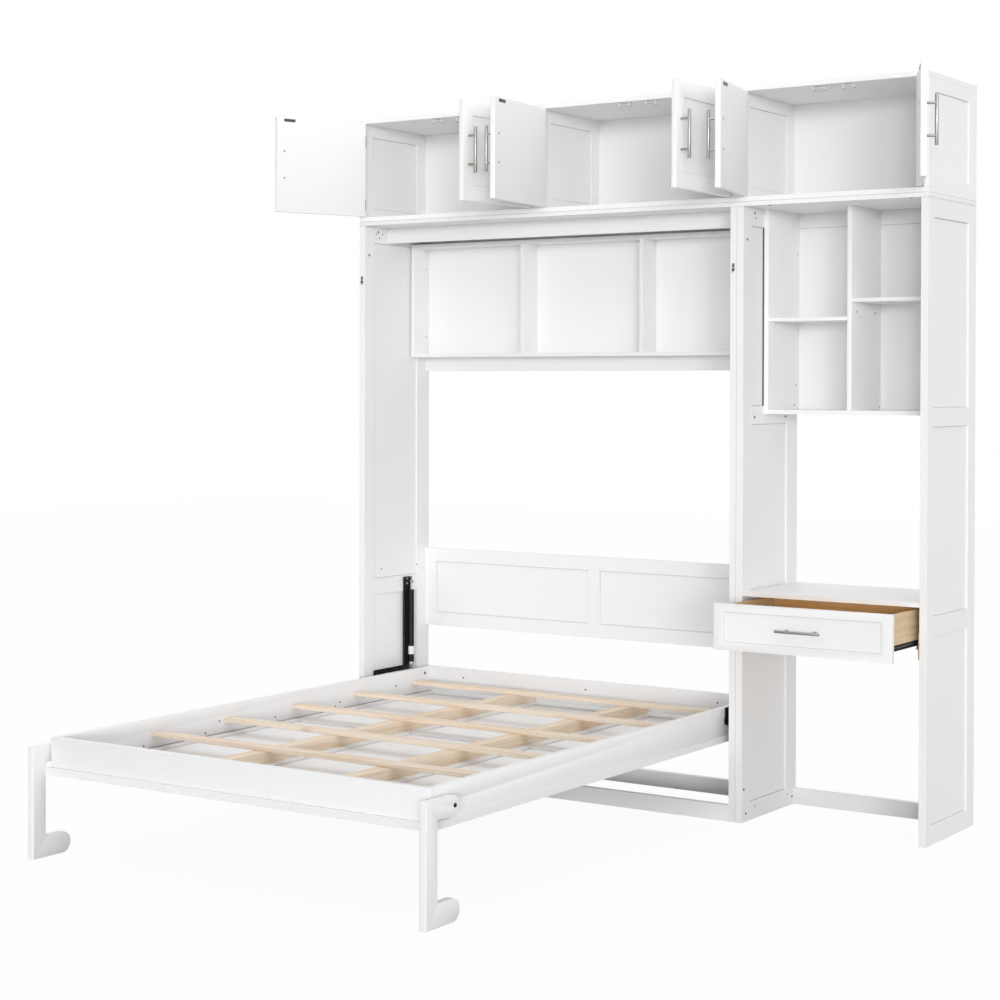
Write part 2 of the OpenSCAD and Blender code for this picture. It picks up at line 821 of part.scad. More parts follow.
module strut_cylinder(side) {
    translate([side * strut_x, strut_y, 0]) {
        difference() {
            translate([0, 0, cylinder_low]) cylinder(r = strut_r, h = cylinder_top - cylinder_low);
            translate([0, 0, cylinder_low + 5])
            cylinder(r = strut_r - cylinder_wall, h = cylinder_top - cylinder_low - gland_h - 5);
            translate([0, 0, cylinder_top - gland_h - eps])
            cylinder(r = rod_r + 0.1, h = gland_h + 2 * eps);
        }
        difference() {
            union() {
                translate([-eye_t / 2, 0, strut_low_z])
                rotate([0, 90, 0])
                cylinder(r = eye_r, h = eye_t);
                translate([0, 0, strut_low_z + eye_r - 1]) cylinder(r = 5, h = cylinder_low - strut_low_z - eye_r + 1);
            }
            translate([-eye_t, 0, strut_low_z]) rotate([0, 90, 0]) cylinder(r = 6.3, h = 2 * eye_t);
        }
    }
}

module strut_cylinders() {
    color(black) for (side = [-1, 1]) strut_cylinder(side);
}

// ---- Legs and their bolts ----
pad_t = leg_x - bed_w / 2 - 0.4;
module bed_bolts() {
    bolt_l = bed_rail_t + (leg_x - bed_w / 2) + leg_t + 0.5;
    for (side = [-1, 1])
        mirror([side < 0 ? 1 : 0, 0, 0])
        translate([bed_w / 2 - bed_rail_t, leg_bolt_y, leg_bolt_z])
        rotate([0, 90, 0]) {
            color(black) {
                cylinder(r = leg_bolt_r - pin_fit, h = bolt_l);
                translate([0, 0, bolt_l]) cylinder(r = 9, h = 1.5);
                translate([0, 0, bolt_l + 1.5]) cylinder(r1 = 7, r2 = 4.5, h = 3.5, $fn = 24);
            }
            color(white)
            translate([0, 0, bed_rail_t])
            difference() {
                cylinder(r = 23, h = pad_t);
                translate([0, 0, -eps]) cylinder(r = leg_bolt_r, h = pad_t + 2 * eps);
            }
        }
    // Heads of the corner fasteners on the rails' inner faces
    color(black)
    for (side = [-1, 1], y = [bed_foot_y + 60, bed_head_y - 60], z = [bed_top_z - 22, bed_top_z - 62])
        translate([side * (bed_w / 2 - bed_rail_t), y, z])
        rotate([0, -90 * side, 0])
        cylinder(r = 5, h = 1.2);
}

module leg_shape() {
    rise = leg_arm_h / 2;
    toe_r = leg_foot_h / 2;
    inner = 12;
    y0 = -leg_reach;
    difference() {
        union() {
            translate([y0, -leg_bolt_z]) square([leg_post_w, leg_bolt_z + rise]);
            translate([y0, -rise]) square([leg_reach, leg_arm_h]);
            circle(r = rise);
            translate([y0, -leg_bolt_z]) square([leg_reach - 6, leg_foot_h]);
            translate([-6, -leg_bolt_z + toe_r]) circle(r = toe_r);
            translate([y0 + leg_post_w, -rise - inner]) square(inner);
            translate([y0 + leg_post_w, -leg_bolt_z + leg_foot_h]) square(inner);
        }
        translate([y0 + leg_post_w + inner, -rise - inner]) circle(r = inner);
        translate([y0 + leg_post_w + inner, -leg_bolt_z + leg_foot_h + inner]) circle(r = inner);
        circle(r = leg_bolt_r + pin_fit);
    }
}

module leg(side) {
    color(white)
    mirror([side < 0 ? 1 : 0, 0, 0])
    translate([leg_x, leg_bolt_y, leg_bolt_z])
    rotate([90, 0, 90])
    linear_extrude(leg_t)
    leg_shape();
}
module leg_left() { leg(-1); }
module leg_right() { leg(1); }

bed_side_left();
bed_side_right();
top_boards();
header_rail();
wall_rail();
shelf_case();
shelf_back();
shelf_rail();
headboard();
floor_rails();
bed_catches();
tower_screws();
lift_plates();
desk_side_left();
desk_side_right();
hutch_sides();
hutch_floor();
hutch_divider();
hutch_shelves();
hutch_back();
desk_wall_rail();
desk_board();
drawer_cleats();
drawer_runners();
cabinet_left();
cabinet_middle();
cabinet_right();
cabinet_backs();
hinge_leaves();
magnetic_catches();
door(0);  // door_1
door(1);  // door_2
door(2);  // door_3
door(3);  // door_4
door(4);  // door_5
door(5);  // door_6
door_hardware(0);  // door_hardware_1
door_hardware(1);  // door_hardware_2
door_hardware(2);  // door_hardware_3
door_hardware(3);  // door_hardware_4
door_hardware(4);  // door_hardware_5
door_hardware(5);  // door_hardware_6
drawer_front();
drawer_box();
drawer_bottom();
drawer_handle();
drawer_slides();
head_rail();
foot_rail();
side_rails();
face_panels();
long_supports();
slats();
rail_screws();
bed_brackets();
bed_bolts();
leg_left();
leg_right();
strut_rods();
strut_cylinders();
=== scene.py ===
"""White wall bed with a desk tower and cabinets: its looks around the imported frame."""
import json
import math

import bmesh
import bpy
from mathutils import Matrix, Vector


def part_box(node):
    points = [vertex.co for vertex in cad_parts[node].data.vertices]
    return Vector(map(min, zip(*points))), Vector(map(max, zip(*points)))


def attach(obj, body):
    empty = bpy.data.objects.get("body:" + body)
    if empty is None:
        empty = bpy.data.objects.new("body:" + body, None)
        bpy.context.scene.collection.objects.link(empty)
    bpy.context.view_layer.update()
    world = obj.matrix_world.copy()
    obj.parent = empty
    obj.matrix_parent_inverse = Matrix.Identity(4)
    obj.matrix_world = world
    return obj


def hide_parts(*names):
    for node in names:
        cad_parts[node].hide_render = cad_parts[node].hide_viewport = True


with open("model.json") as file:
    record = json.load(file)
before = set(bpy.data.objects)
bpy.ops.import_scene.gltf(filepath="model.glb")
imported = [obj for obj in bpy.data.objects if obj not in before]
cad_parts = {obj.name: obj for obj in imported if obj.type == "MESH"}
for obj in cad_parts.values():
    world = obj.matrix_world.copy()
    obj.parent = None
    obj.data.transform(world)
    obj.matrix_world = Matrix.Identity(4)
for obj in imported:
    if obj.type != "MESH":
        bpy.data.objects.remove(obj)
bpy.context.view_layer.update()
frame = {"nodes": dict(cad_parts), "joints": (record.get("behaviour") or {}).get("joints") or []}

# ---------------------------------------------------------------- camera
# Fitted to the photo's straight edges
PHOTO_PX, LENS_PX, PRINCIPAL_Y = 1000, 2058.4, 410.65
SENSOR_W = 36.0
camera_data = bpy.data.cameras.new("photo_camera")
camera_data.sensor_width = SENSOR_W
camera_data.lens = LENS_PX / PHOTO_PX * SENSOR_W
camera_data.shift_y = (PRINCIPAL_Y - PHOTO_PX / 2) / PHOTO_PX
camera_data.clip_end = 60.0
camera = bpy.data.objects.new("photo_camera", camera_data)
camera.location = (3.8745, -6.406, 1.424)
camera.rotation_euler = (math.radians(90 - 0.68), math.radians(-0.13), math.radians(33.86))
bpy.context.collection.objects.link(camera)
bpy.context.scene.camera = camera
bpy.context.scene.view_settings.view_transform = "Standard"


# ---------------------------------------------------------------- shader maths
class Value:
    """A shader socket. Arithmetic on it adds Math nodes to its finish."""

    def __init__(self, finish, socket):
        self.finish, self.socket = finish, socket

    def maths(self, operation, *inputs):
        """A Math node on the inputs, or on this value alone."""
        sockets = dict(enumerate(inputs or (self,)))
        return self.finish.node("Math", {"operation": operation}, sockets)

    def __add__(self, other):
        return self.maths("ADD", self, other)

    def __rsub__(self, other):
        return self.maths("SUBTRACT", other, self)

    def __mul__(self, other):
        return self.maths("MULTIPLY", self, other)

    def __pow__(self, other):
        return self.maths("POWER", self, other)

    def step(self, low, high):
        """0 below low, 1 above high, smooth between."""
        sockets = {0: self, 1: low, 2: high}
        settings = {"interpolation_type": "SMOOTHSTEP"}
        return self.finish.node("MapRange", settings, sockets)


class Finish:
    """A procedural material. Constants sit on the shader's own sockets."""

    def __init__(self, name, **constants):
        self.material = bpy.data.materials.new(name)
        self.material.use_nodes = True
        self.tree = self.material.node_tree
        self.shader = self.tree.nodes["Principled BSDF"]
        for socket, constant in constants.items():
            self.shader.inputs[socket.replace("_", " ")].default_value = constant
        self.place = self.node("TexCoord", out="Object")

    def node(self, kind, settings=None, sockets=None, out=0):
        """Adds a shader node, sets it up, feeds it, and returns one of its outputs."""
        made = self.tree.nodes.new("ShaderNode" + kind)
        for key, setting in (settings or {}).items():
            setattr(made, key, setting)
        for key, given in (sockets or {}).items():
            if isinstance(given, Value):
                self.tree.links.new(given.socket, made.inputs[key])
            else:
                made.inputs[key].default_value = given
        return Value(self, made.outputs[out])

    def stretch(self, scale, shift=0.0):
        """The place on the piece, scaled along each axis, and moved by a value per board."""
        sockets = {0: self.place, 1: scale}
        scaled = self.node("VectorMath", {"operation": "MULTIPLY"}, sockets)
        if not isinstance(shift, Value):
            return scaled
        spread = self.node("CombineXYZ", None, {0: shift * 7.3, 1: shift * 3.1, 2: shift * 5.7})
        return self.node("VectorMath", {"operation": "ADD"}, {0: scaled, 1: spread})

    def noise(self, scale, detail=2.0, place=None, rough=0.5, warp=0.0):
        sockets = {"Vector": place or self.place, "Scale": scale, "Detail": detail,
                   "Roughness": rough, "Distortion": warp}
        return self.node("TexNoise", None, sockets)

    def mix(self, amount, first, second):
        sockets = {0: amount}
        for index, colour in ((6, first), (7, second)):
            sockets[index] = colour if isinstance(colour, Value) else (*colour, 1)
        return self.node("Mix", {"data_type": "RGBA"}, sockets, out=2)

    def attribute(self, name):
        return self.node("Attribute", {"attribute_name": name}, out="Fac")

    def bump(self, height, strength, distance):
        sockets = {"Height": height, "Strength": strength, "Distance": distance}
        self.set("Normal", self.node("Bump", None, sockets))

    def set(self, socket, value):
        self.tree.links.new(value.socket, self.shader.inputs[socket])


def lacquer(name, light, shade, gloss=0.34):
    """Sprayed satin lacquer: faint clouding, orange peel, and a slightly uneven gloss."""
    made = Finish(name, IOR=1.47, Specular_IOR_Level=0.32)
    cloud = made.noise(2.6, 3.0)
    fine = made.noise(38.0, 4.0)
    made.set("Base Color", made.mix(cloud * 0.6 + fine * 0.4, shade, light))
    made.set("Roughness", fine.step(0.25, 0.8) * 0.10 + cloud * 0.06 + gloss)
    peel = made.noise(620.0, 1.0)
    ripple = made.noise(45.0, 2.0)
    made.bump(peel * 0.35 + ripple * 0.65, 0.12, 0.0004)
    return made.material


def timber(name, pale, dark, knot, along, ring=26.0):
    """Planed softwood: growth rings drawn out along the board, fibres, and a few knots."""
    made = Finish(name, IOR=1.45)
    board = made.attribute("board")
    squeeze = [ring] * 3
    squeeze[along] = ring * 0.045
    place = made.stretch(squeeze, board)
    figure = made.noise(1.0, 3.0, place, 0.55, 0.6)
    rings = (figure * 34.0).maths("SINE") * 0.5 + 0.5
    knots_at = [5.0] * 3
    knots_at[along] = 2.6
    cells = {"Vector": made.stretch(knots_at, board), "Scale": 1.0, "Randomness": 1.0}
    near = made.node("TexVoronoi", None, cells)
    knots = 1.0 - near.step(0.02, 0.11)
    fibres = [900.0] * 3
    fibres[along] = 22.0
    fibre = made.noise(1.0, 2.0, made.stretch(fibres))
    grain = made.mix(rings ** 1.6 * 0.55 + fibre * 0.25 + board * 0.2, pale, dark)
    made.set("Base Color", made.mix(knots * 0.55, grain, knot))
    made.set("Roughness", fibre * 0.16 + rings * 0.06 + 0.50)
    made.bump(fibre * 0.6 + rings * 0.4, 0.22, 0.0005)
    return made.material


PLY_LAYERS, PLY_THICK = 7, 0.012


def plies(name, pale, dark, along, through):
    """Birch plywood: a calm veneer, and the layers on the faces marked as cut edges.

    Every second layer is dark, so one light and one dark layer are a full wave.
    """
    made = Finish(name, IOR=1.48)
    long_grain = [70.0] * 3
    long_grain[along] = 3.5
    figure = made.noise(1.0, 4.0, made.stretch(long_grain), 0.6, 0.4)
    edge = made.attribute("edge")
    depth = made.node("SeparateXYZ", None, {0: made.place}, out=through)
    waves = 2 * math.pi * (PLY_LAYERS / 2) / PLY_THICK
    layers = (depth * waves).maths("SINE") * 0.5 + 0.5
    veneer = made.mix(figure.step(0.3, 0.75), pale, dark)
    cut = made.mix(layers.step(0.35, 0.65), [c * 0.62 for c in dark], pale)
    made.set("Base Color", made.mix(edge, veneer, cut))
    made.set("Roughness", figure * 0.15 + edge * 0.15 + 0.38)
    made.bump(figure * 0.5 + layers * edge * 0.5, 0.15, 0.0004)
    return made.material


def coated_steel(name, colour, gloss, bend=1.45):
    """Powder coat: a fine pebbled skin, with lighter rubbing in patches."""
    made = Finish(name, IOR=bend)
    pebble = made.noise(1400.0, 2.0)
    rub = made.noise(60.0, 4.0)
    light = [c * 1.5 + 0.008 for c in colour]
    made.set("Base Color", made.mix(rub.step(0.5, 0.8), colour, light))
    made.set("Roughness", rub * 0.14 + gloss)
    made.bump(pebble, 0.25, 0.0003)
    return made.material


def bare_metal(name, colour, gloss, along=2, streak=0.1):
    """Metal with fine brushing marks along one axis."""
    made = Finish(name, Metallic=1.0)
    marks = [2400.0] * 3
    marks[along] = 30.0
    line = made.noise(1.0, 3.0, made.stretch(marks))
    stain = made.noise(40.0, 3.0)
    made.set("Base Color", made.mix(stain * 0.5 + line * 0.5, [c * 0.86 for c in colour], colour))
    made.set("Roughness", line * streak + stain * 0.06 + gloss)
    made.bump(line, 0.08, 0.0002)
    return made.material


def moulded(name, colour, gloss=0.42):
    """Moulded plastic with a light texture."""
    made = Finish(name, IOR=1.46)
    grain = made.noise(900.0, 3.0)
    flow = made.noise(30.0, 2.0)
    made.set("Base Color", made.mix(flow, [c * 0.92 for c in colour], colour))
    made.set("Roughness", grain * 0.12 + gloss)
    made.bump(grain, 0.15, 0.0003)
    return made.material


WHITE = lacquer("white_lacquer", (0.885, 0.885, 0.89), (0.865, 0.865, 0.872))
# A lighter copy of the same white lacquer, painted light: it brightens the cabinets, the shelf
# box, the doors and the bed's sunk fields against their shade.
LIGHTENED_WHITE = lacquer("white_lacquer_painted_light", (0.93, 0.93, 0.935), (0.915, 0.915, 0.92), 0.42)
# A darker copy of the same white lacquer, painted shade: it dims the bed's foot rail and the face
# panels' frames.
DARKENED_WHITE = lacquer("white_lacquer_painted_shade", (0.865, 0.865, 0.874), (0.845, 0.845, 0.855))
PINE_ACROSS = timber("pine_across", (0.90, 0.79, 0.67), (0.80, 0.62, 0.45), (0.46, 0.27, 0.14), 0)
PINE_ALONG = timber("pine_along", (0.90, 0.77, 0.62), (0.78, 0.58, 0.39), (0.46, 0.27, 0.14), 1)
PLY_SIDES = plies("birch_plywood_sides", (0.72, 0.56, 0.36), (0.60, 0.43, 0.25), 1, 0)
PLY_ENDS = plies("birch_plywood_ends", (0.86, 0.58, 0.29), (0.72, 0.44, 0.19), 0, 1)
PLY_FLAT = plies("birch_plywood_flat", (0.86, 0.60, 0.32), (0.72, 0.46, 0.22), 0, 2)
# Grey standing for the shade in joint lines, grooves and seams between white lacquered boards:
# painted shade.
JOINT_SHADE = moulded("joint_painted_shade", (0.40, 0.40, 0.41), 0.7)
# Dark brown standing for the shadow deep in gaps and joints: painted shadow, not the colour of
# any wood.
GAP_SHADOW = moulded("gap_painted_shadow", (0.115, 0.085, 0.07), 0.8)
BLACK = coated_steel("black_coated_steel", (0.009, 0.009, 0.0095), 0.46, 1.3)
DARK_STEEL = coated_steel("dark_steel", (0.07, 0.068, 0.066), 0.32)
NICKEL = bare_metal("brushed_nickel", (0.42, 0.40, 0.375), 0.30)
NICKEL_FLAT = bare_metal("brushed_nickel_across", (0.34, 0.325, 0.305), 0.28, 0)
ZINC = bare_metal("zinc_plate", (0.62, 0.63, 0.65), 0.30, 2, 0.06)
CHROME = bare_metal("polished_rod", (0.82, 0.83, 0.84), 0.06, 2, 0.03)
BRASS = bare_metal("brass_pin", (0.72, 0.52, 0.24), 0.28, 0, 0.06)
CATCH_GREY = moulded("catch_housing", (0.74, 0.74, 0.75))
NYLON = moulded("nylon_roller", (0.82, 0.82, 0.80), 0.35)
BAND = moulded("pale_band", (0.80, 0.82, 0.82), 0.5)
CAP = moulded("screw_cap", (0.52, 0.52, 0.53), 0.5)


# ---------------------------------------------------------------- pieces
TONGUE, JOINT_DEEP = 3, 2


class Piece:
    """A mesh put together from solids, in millimetres in the frame's axes."""

    def __init__(self, name, finishes, turn=None):
        self.name, self.finishes = name, finishes
        self.turn = turn or Matrix.Identity(4)
        self.mesh = bmesh.new()

    def _take(self, verts, faces, finish, smooth=False):
        """Adds faces of one finish to the mesh."""
        placed = [self.mesh.verts.new(self.turn @ Vector(v)) for v in verts]
        for face in faces:
            made = self.mesh.faces.new([placed[i] for i in face])
            made.material_index = finish
            made.smooth = smooth

    def block(self, low, high, finish=0):
        corners = [(x, y, z) for x in (low[0], high[0]) for y in (low[1], high[1])
                   for z in (low[2], high[2])]
        faces = [(0, 1, 3, 2), (4, 6, 7, 5), (0, 4, 5, 1), (2, 3, 7, 6), (0, 2, 6, 4),
                 (1, 5, 7, 3)]
        self._take(corners, faces, finish)
        return self

    def lathe(self, base, axis, profile, finish=0, sides=32):
        """A turned solid: profile is [(radius, height), ...] from base along axis."""
        axis = Vector(axis).normalized()
        across = axis.orthogonal().normalized()
        other = axis.cross(across)
        verts, faces = [Vector(base) + axis * profile[0][1]], []
        for radius, height in profile:
            for k in range(sides):
                a = 2 * math.pi * k / sides
                out = across * math.cos(a) + other * math.sin(a)
                verts.append(Vector(base) + axis * height + out * radius)
        verts.append(Vector(base) + axis * profile[-1][1])
        last = len(verts) - 1
        for k in range(sides):
            n = (k + 1) % sides
            faces.append((0, 1 + n, 1 + k))
            for ring in range(len(profile) - 1):
                a, b = 1 + ring * sides, 1 + (ring + 1) * sides
                faces.append((a + k, a + n, b + n, b + k))
            top = 1 + (len(profile) - 1) * sides
            faces.append((top + k, top + n, last))
        self._take(verts, faces, finish, smooth=True)
        return self

    def framed(self, low, high, thick, columns, rows, sinks, v_axis=2, joint=1.1,
               field_finish=0):
        """A board with a joint line round each sunk field.

        thick is the axis through the board, columns and rows are the fields' spans, and
        sinks are their depths on the low and the high face. The second finish shows at the
        bottom of the joint lines, as painted shade in the grooves.
        """
        u_axis = 3 - thick - v_axis

        def member(u, v, n, finish=0):
            lo, hi = [0, 0, 0], [0, 0, 0]
            for axis, span in ((u_axis, u), (v_axis, v), (thick, n)):
                lo[axis], hi[axis] = span
            self.block(lo, hi, finish)

        depth = (low[thick], high[thick])
        ends_u = [low[u_axis], *[end for column in columns for end in column], high[u_axis]]
        ends_v = [low[v_axis], *[end for row in rows for end in row], high[v_axis]]
        for i in range(0, len(ends_u), 2):
            member(ends_u[i:i + 2], (low[v_axis], high[v_axis]), depth)
        for column in columns:
            for i in range(0, len(ends_v), 2):
                member(column, ends_v[i:i + 2], depth)
            for row in rows:
                field = depth[0] + sinks[0], depth[1] - sinks[1]
                member((column[0] - TONGUE, column[1] + TONGUE),
                       (row[0] - TONGUE, row[1] + TONGUE),
                       (field[0] + JOINT_DEEP, field[1] - JOINT_DEEP), 1)
                member((column[0] + joint, column[1] - joint),
                       (row[0] + joint, row[1] - joint), field, field_finish)
        return self

    def done(self, body, replaces=(), slot=None, bevel=0.8, segments=2):
        """Turns the solids into one object on a body, in metres."""
        bmesh.ops.scale(self.mesh, vec=(0.001,) * 3, verts=self.mesh.verts)
        data = bpy.data.meshes.new(self.name)
        self.mesh.to_mesh(data)
        self.mesh.free()
        for finish in self.finishes:
            data.materials.append(finish)
        return settle(self.name, data, body, replaces, bevel, segments)


def settle(name, data, body, replaces=(), bevel=0.8, segments=2):
    """Puts a finished mesh in the scene, softens its edges and hangs it on a body."""
    made = bpy.data.objects.new(name, data)
    bpy.context.collection.objects.link(made)
    if bevel:
        data.shade_smooth()
        soft = made.modifiers.new("soft_edges", "BEVEL")
        soft.width = bevel * 0.001
        soft.segments = segments
        soft.limit_method = "ANGLE"
        soft.angle_limit = math.radians(32)
        soft.harden_normals = True
        soft.use_clamp_overlap = True
    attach(made, body)
    if replaces:
        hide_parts(*([replaces] if isinstance(replaces, str) else replaces))
    return made


def merged(node):
    """A joined-up copy of a CAD node's mesh, its flat faces whole."""
    mesh = bmesh.new()
    mesh.from_mesh(frame["nodes"][node].data)
    bmesh.ops.remove_doubles(mesh, verts=mesh.verts, dist=1e-5)
    bmesh.ops.dissolve_limit(mesh, angle_limit=math.radians(0.5), verts=mesh.verts,
                             edges=mesh.edges, delimit={"NORMAL"})
    return mesh


def soften(node, body, finish, bevel=0.8, cuts=(), zones=None):
    """The CAD node's own shape with its edges eased, in place of the node.

    cuts are levels in millimetres, {axis: [levels]}. zones gives a face's finish from its middle.
    """
    mesh = merged(node)
    for axis, levels in dict(cuts).items():
        for level in levels:
            point, normal = Vector(), Vector()
            point[axis], normal[axis] = level * 0.001, 1
            everything = mesh.verts[:] + mesh.edges[:] + mesh.faces[:]
            bmesh.ops.bisect_plane(mesh, geom=everything, plane_co=point, plane_no=normal)
    for face in mesh.faces if zones else ():
        face.material_index = zones(face.calc_center_median() * 1000)
    data = bpy.data.meshes.new(node + "_eased")
    mesh.to_mesh(data)
    mesh.free()
    for one in finish if isinstance(finish, list) else [finish]:
        data.materials.append(one)
    return settle(node + "_eased", data, body, node, bevel)


def islands(node):
    """The low and high corners, in millimetres, of every separate solid of a CAD node."""
    mesh = merged(node)
    left, boxes = set(mesh.verts), []
    while left:
        group = [left.pop()]
        for vert in group:
            near = {edge.other_vert(vert) for edge in vert.link_edges} & left
            group += near
            left -= near
        boxes.append(([1000 * min(v.co[k] for v in group) for k in range(3)],
                      [1000 * max(v.co[k] for v in group) for k in range(3)]))
    mesh.free()
    return sorted(boxes)


def span(node):
    """The low and high corner of a CAD node's box, in millimetres."""
    low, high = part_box(node)
    return [1000 * v for v in low], [1000 * v for v in high]


def middle_of(low, high):
    return [(p + q) / 2 for p, q in zip(low, high)]


def shade_line_round_field(piece, low, high, y, wide=1.2, proud=0.25):
    """A line of painted shade round a sunk field, in thin strips standing a little proud, on a
    face that looks along -y.
    """
    for x in (low[0], high[0] - wide):
        piece.block((x, y - proud, low[1]), (x + wide, y + 1, high[1]))
    for z in (low[1], high[1] - wide):
        piece.block((low[0] + wide, y - proud, z), (high[0] - wide, y + 1, z + wide))


def cut_edges(mesh, normal_axis):
    """Marks the faces that look along an axis, where the plywood's layers show."""
    layer = mesh.faces.layers.float.new("edge")
    mesh.normal_update()
    for face in mesh.faces:
        face[layer] = 1.0 if abs(face.normal[normal_axis]) > 0.9 else 0.0


# ---------------------------------------------------------------- repeated small parts
def tree_with(name, sockets):
    """A Geometry Nodes tree with named inputs; returns it with its input and output nodes."""
    tree = bpy.data.node_groups.new(name, "GeometryNodeTree")
    tree.interface.new_socket("Geometry", in_out="INPUT", socket_type="NodeSocketGeometry")
    for label, kind, value in sockets:
        made = tree.interface.new_socket(label, in_out="INPUT", socket_type="NodeSocket" + kind)
        if value is not None:
            made.default_value = value
    tree.interface.new_socket("Geometry", in_out="OUTPUT", socket_type="NodeSocketGeometry")
    return tree, tree.nodes.new("NodeGroupInput"), tree.nodes.new("NodeGroupOutput")


def chain(tree, kind, links=None, settings=None, values=None):
    """Adds a node to a tree, sets it up and links what feeds it."""
    made = tree.nodes.new(kind)
    for key, setting in (settings or {}).items():
        setattr(made, key, setting)
    for key, value in (values or {}).items():
        made.inputs[key].default_value = value
    for key, source in (links or {}).items():
        tree.links.new(source, made.inputs[key])
    return made


RIM_SHARE, DOME_SHARE, DOME_TOP, SOCKET_SHARE = 0.6, 0.4, 0.86, -0.8


def scaled(tree, given, share):
    """The named Height input times a share of it."""
    return chain(tree, "ShaderNodeMath", {0: given.outputs["Height"]},
                 {"operation": "MULTIPLY"}, {1: share}).outputs[0]


def screw_tree():
    """A screw head with a round sunk socket on every point, turned to the point's facing."""
    tree, given, result = tree_with("screw_heads", [
        ("Radius", "Float", 0.004), ("Height", "Float", 0.001), ("Socket", "Float", 0.45),
        ("Finish", "Material", None)])
    disc = chain(tree, "GeometryNodeMeshCircle", {"Radius": given.outputs["Radius"]},
                 {"fill_type": "NGON"}, {"Vertices": 24})
    rim = chain(tree, "GeometryNodeExtrudeMesh",
                {"Mesh": disc.outputs[0], "Offset Scale": scaled(tree, given, RIM_SHARE)},
                {"mode": "FACES"})
    dome = chain(tree, "GeometryNodeExtrudeMesh",
                 {"Mesh": rim.outputs["Mesh"], "Selection": rim.outputs["Top"],
                  "Offset Scale": scaled(tree, given, DOME_SHARE)}, {"mode": "FACES"})
    eased = chain(tree, "GeometryNodeScaleElements",
                  {"Geometry": dome.outputs["Mesh"], "Selection": dome.outputs["Top"]},
                  None, {"Scale": DOME_TOP})
    mouth = chain(tree, "GeometryNodeExtrudeMesh",
                  {"Mesh": eased.outputs[0], "Selection": dome.outputs["Top"]},
                  {"mode": "FACES"}, {"Offset Scale": 0.0})
    narrowed = chain(tree, "GeometryNodeScaleElements",
                     {"Geometry": mouth.outputs["Mesh"], "Selection": mouth.outputs["Top"],
                      "Scale": given.outputs["Socket"]})
    sunk = chain(tree, "GeometryNodeExtrudeMesh",
                 {"Mesh": narrowed.outputs[0], "Selection": mouth.outputs["Top"],
                  "Offset Scale": scaled(tree, given, SOCKET_SHARE)}, {"mode": "FACES"})
    facing = chain(tree, "GeometryNodeInputNamedAttribute", None,
                   {"data_type": "FLOAT_VECTOR"}, {"Name": "facing"})
    turned = chain(tree, "FunctionNodeAlignRotationToVector",
                   {"Vector": facing.outputs[0]}, {"axis": "Z"})
    placed = chain(tree, "GeometryNodeInstanceOnPoints",
                   {"Points": given.outputs["Geometry"], "Instance": sunk.outputs["Mesh"],
                    "Rotation": turned.outputs[0]})
    whole = chain(tree, "GeometryNodeRealizeInstances", {"Geometry": placed.outputs[0]})
    coated = chain(tree, "GeometryNodeSetMaterial",
                   {"Geometry": whole.outputs[0], "Material": given.outputs["Finish"]})
    tree.links.new(coated.outputs[0], result.inputs[0])
    return tree


def slat_tree():
    """A row of equal slats across the bed, each with its own board number for the grain."""
    tree, given, result = tree_with("slat_row", [
        ("Count", "Int", 5), ("Pitch", "Float", 0.35), ("Length", "Float", 1.3),
        ("Width", "Float", 0.05), ("Thickness", "Float", 0.014), ("Seed", "Int", 4),
        ("Finish", "Material", None)])
    size = chain(tree, "ShaderNodeCombineXYZ",
                 {0: given.outputs["Length"], 1: given.outputs["Width"],
                  2: given.outputs["Thickness"]})
    slat = chain(tree, "GeometryNodeMeshCube", {"Size": size.outputs[0]})
    step = chain(tree, "ShaderNodeCombineXYZ", {1: given.outputs["Pitch"]})
    row = chain(tree, "GeometryNodeMeshLine",
                {"Count": given.outputs["Count"], "Offset": step.outputs[0]})
    placed = chain(tree, "GeometryNodeInstanceOnPoints",
                   {"Points": row.outputs[0], "Instance": slat.outputs["Mesh"]})
    chance = chain(tree, "FunctionNodeRandomValue", {"Seed": given.outputs["Seed"]})
    named = chain(tree, "GeometryNodeStoreNamedAttribute",
                  {"Geometry": placed.outputs[0], "Value": chance.outputs["Value"]},
                  {"domain": "INSTANCE", "data_type": "FLOAT"}, {"Name": "board"})
    whole = chain(tree, "GeometryNodeRealizeInstances", {"Geometry": named.outputs[0]})
    coated = chain(tree, "GeometryNodeSetMaterial",
                   {"Geometry": whole.outputs[0], "Material": given.outputs["Finish"]})
    tree.links.new(coated.outputs[0], result.inputs[0])
    return tree


def grown(name, tree, start, **inputs):
    """Runs a tree on a start mesh and returns the plain mesh that it makes."""
    source = bpy.data.objects.new(name + "_start", start)
    bpy.context.collection.objects.link(source)
    grower = source.modifiers.new("grower", "NODES")
    grower.node_group = tree
    sockets = {item.name: item.identifier for item in tree.interface.items_tree
               if item.in_out == "INPUT"}
    for label, value in inputs.items():
        grower[sockets[label]] = value
    evaluated = source.evaluated_get(bpy.context.evaluated_depsgraph_get())
    data = bpy.data.meshes.new_from_object(evaluated)
    source.modifiers.clear()
    bpy.data.objects.remove(source)
    data.name = name
    return data


SCREWS = screw_tree()


def screws(name, body, heads, finish, radius, height, replaces=(),
           socket=0.45):
    """Screw heads in millimetres: [(place, facing), ...]."""
    points = bpy.data.meshes.new(name + "_places")
    points.from_pydata([Vector(place) * 0.001 for place, _ in heads], [], [])
    facing = points.attributes.new("facing", "FLOAT_VECTOR", "POINT")
    for entry, (_, way) in zip(facing.data, heads):
        entry.vector = way
    data = grown(name, SCREWS, points, Radius=radius * 0.001, Height=height * 0.001,
                 Socket=socket, Finish=finish)
    return settle(name, data, body, replaces, 0)


# ---------------------------------------------------------------- towers
# All places and sizes below are in millimetres, in the frame's axes.
WHITE_SLOT = "white_lacquer"
side_low, side_high = span("bed_side_left")
FRONT, SIDE_H = side_low[1], side_high[2]

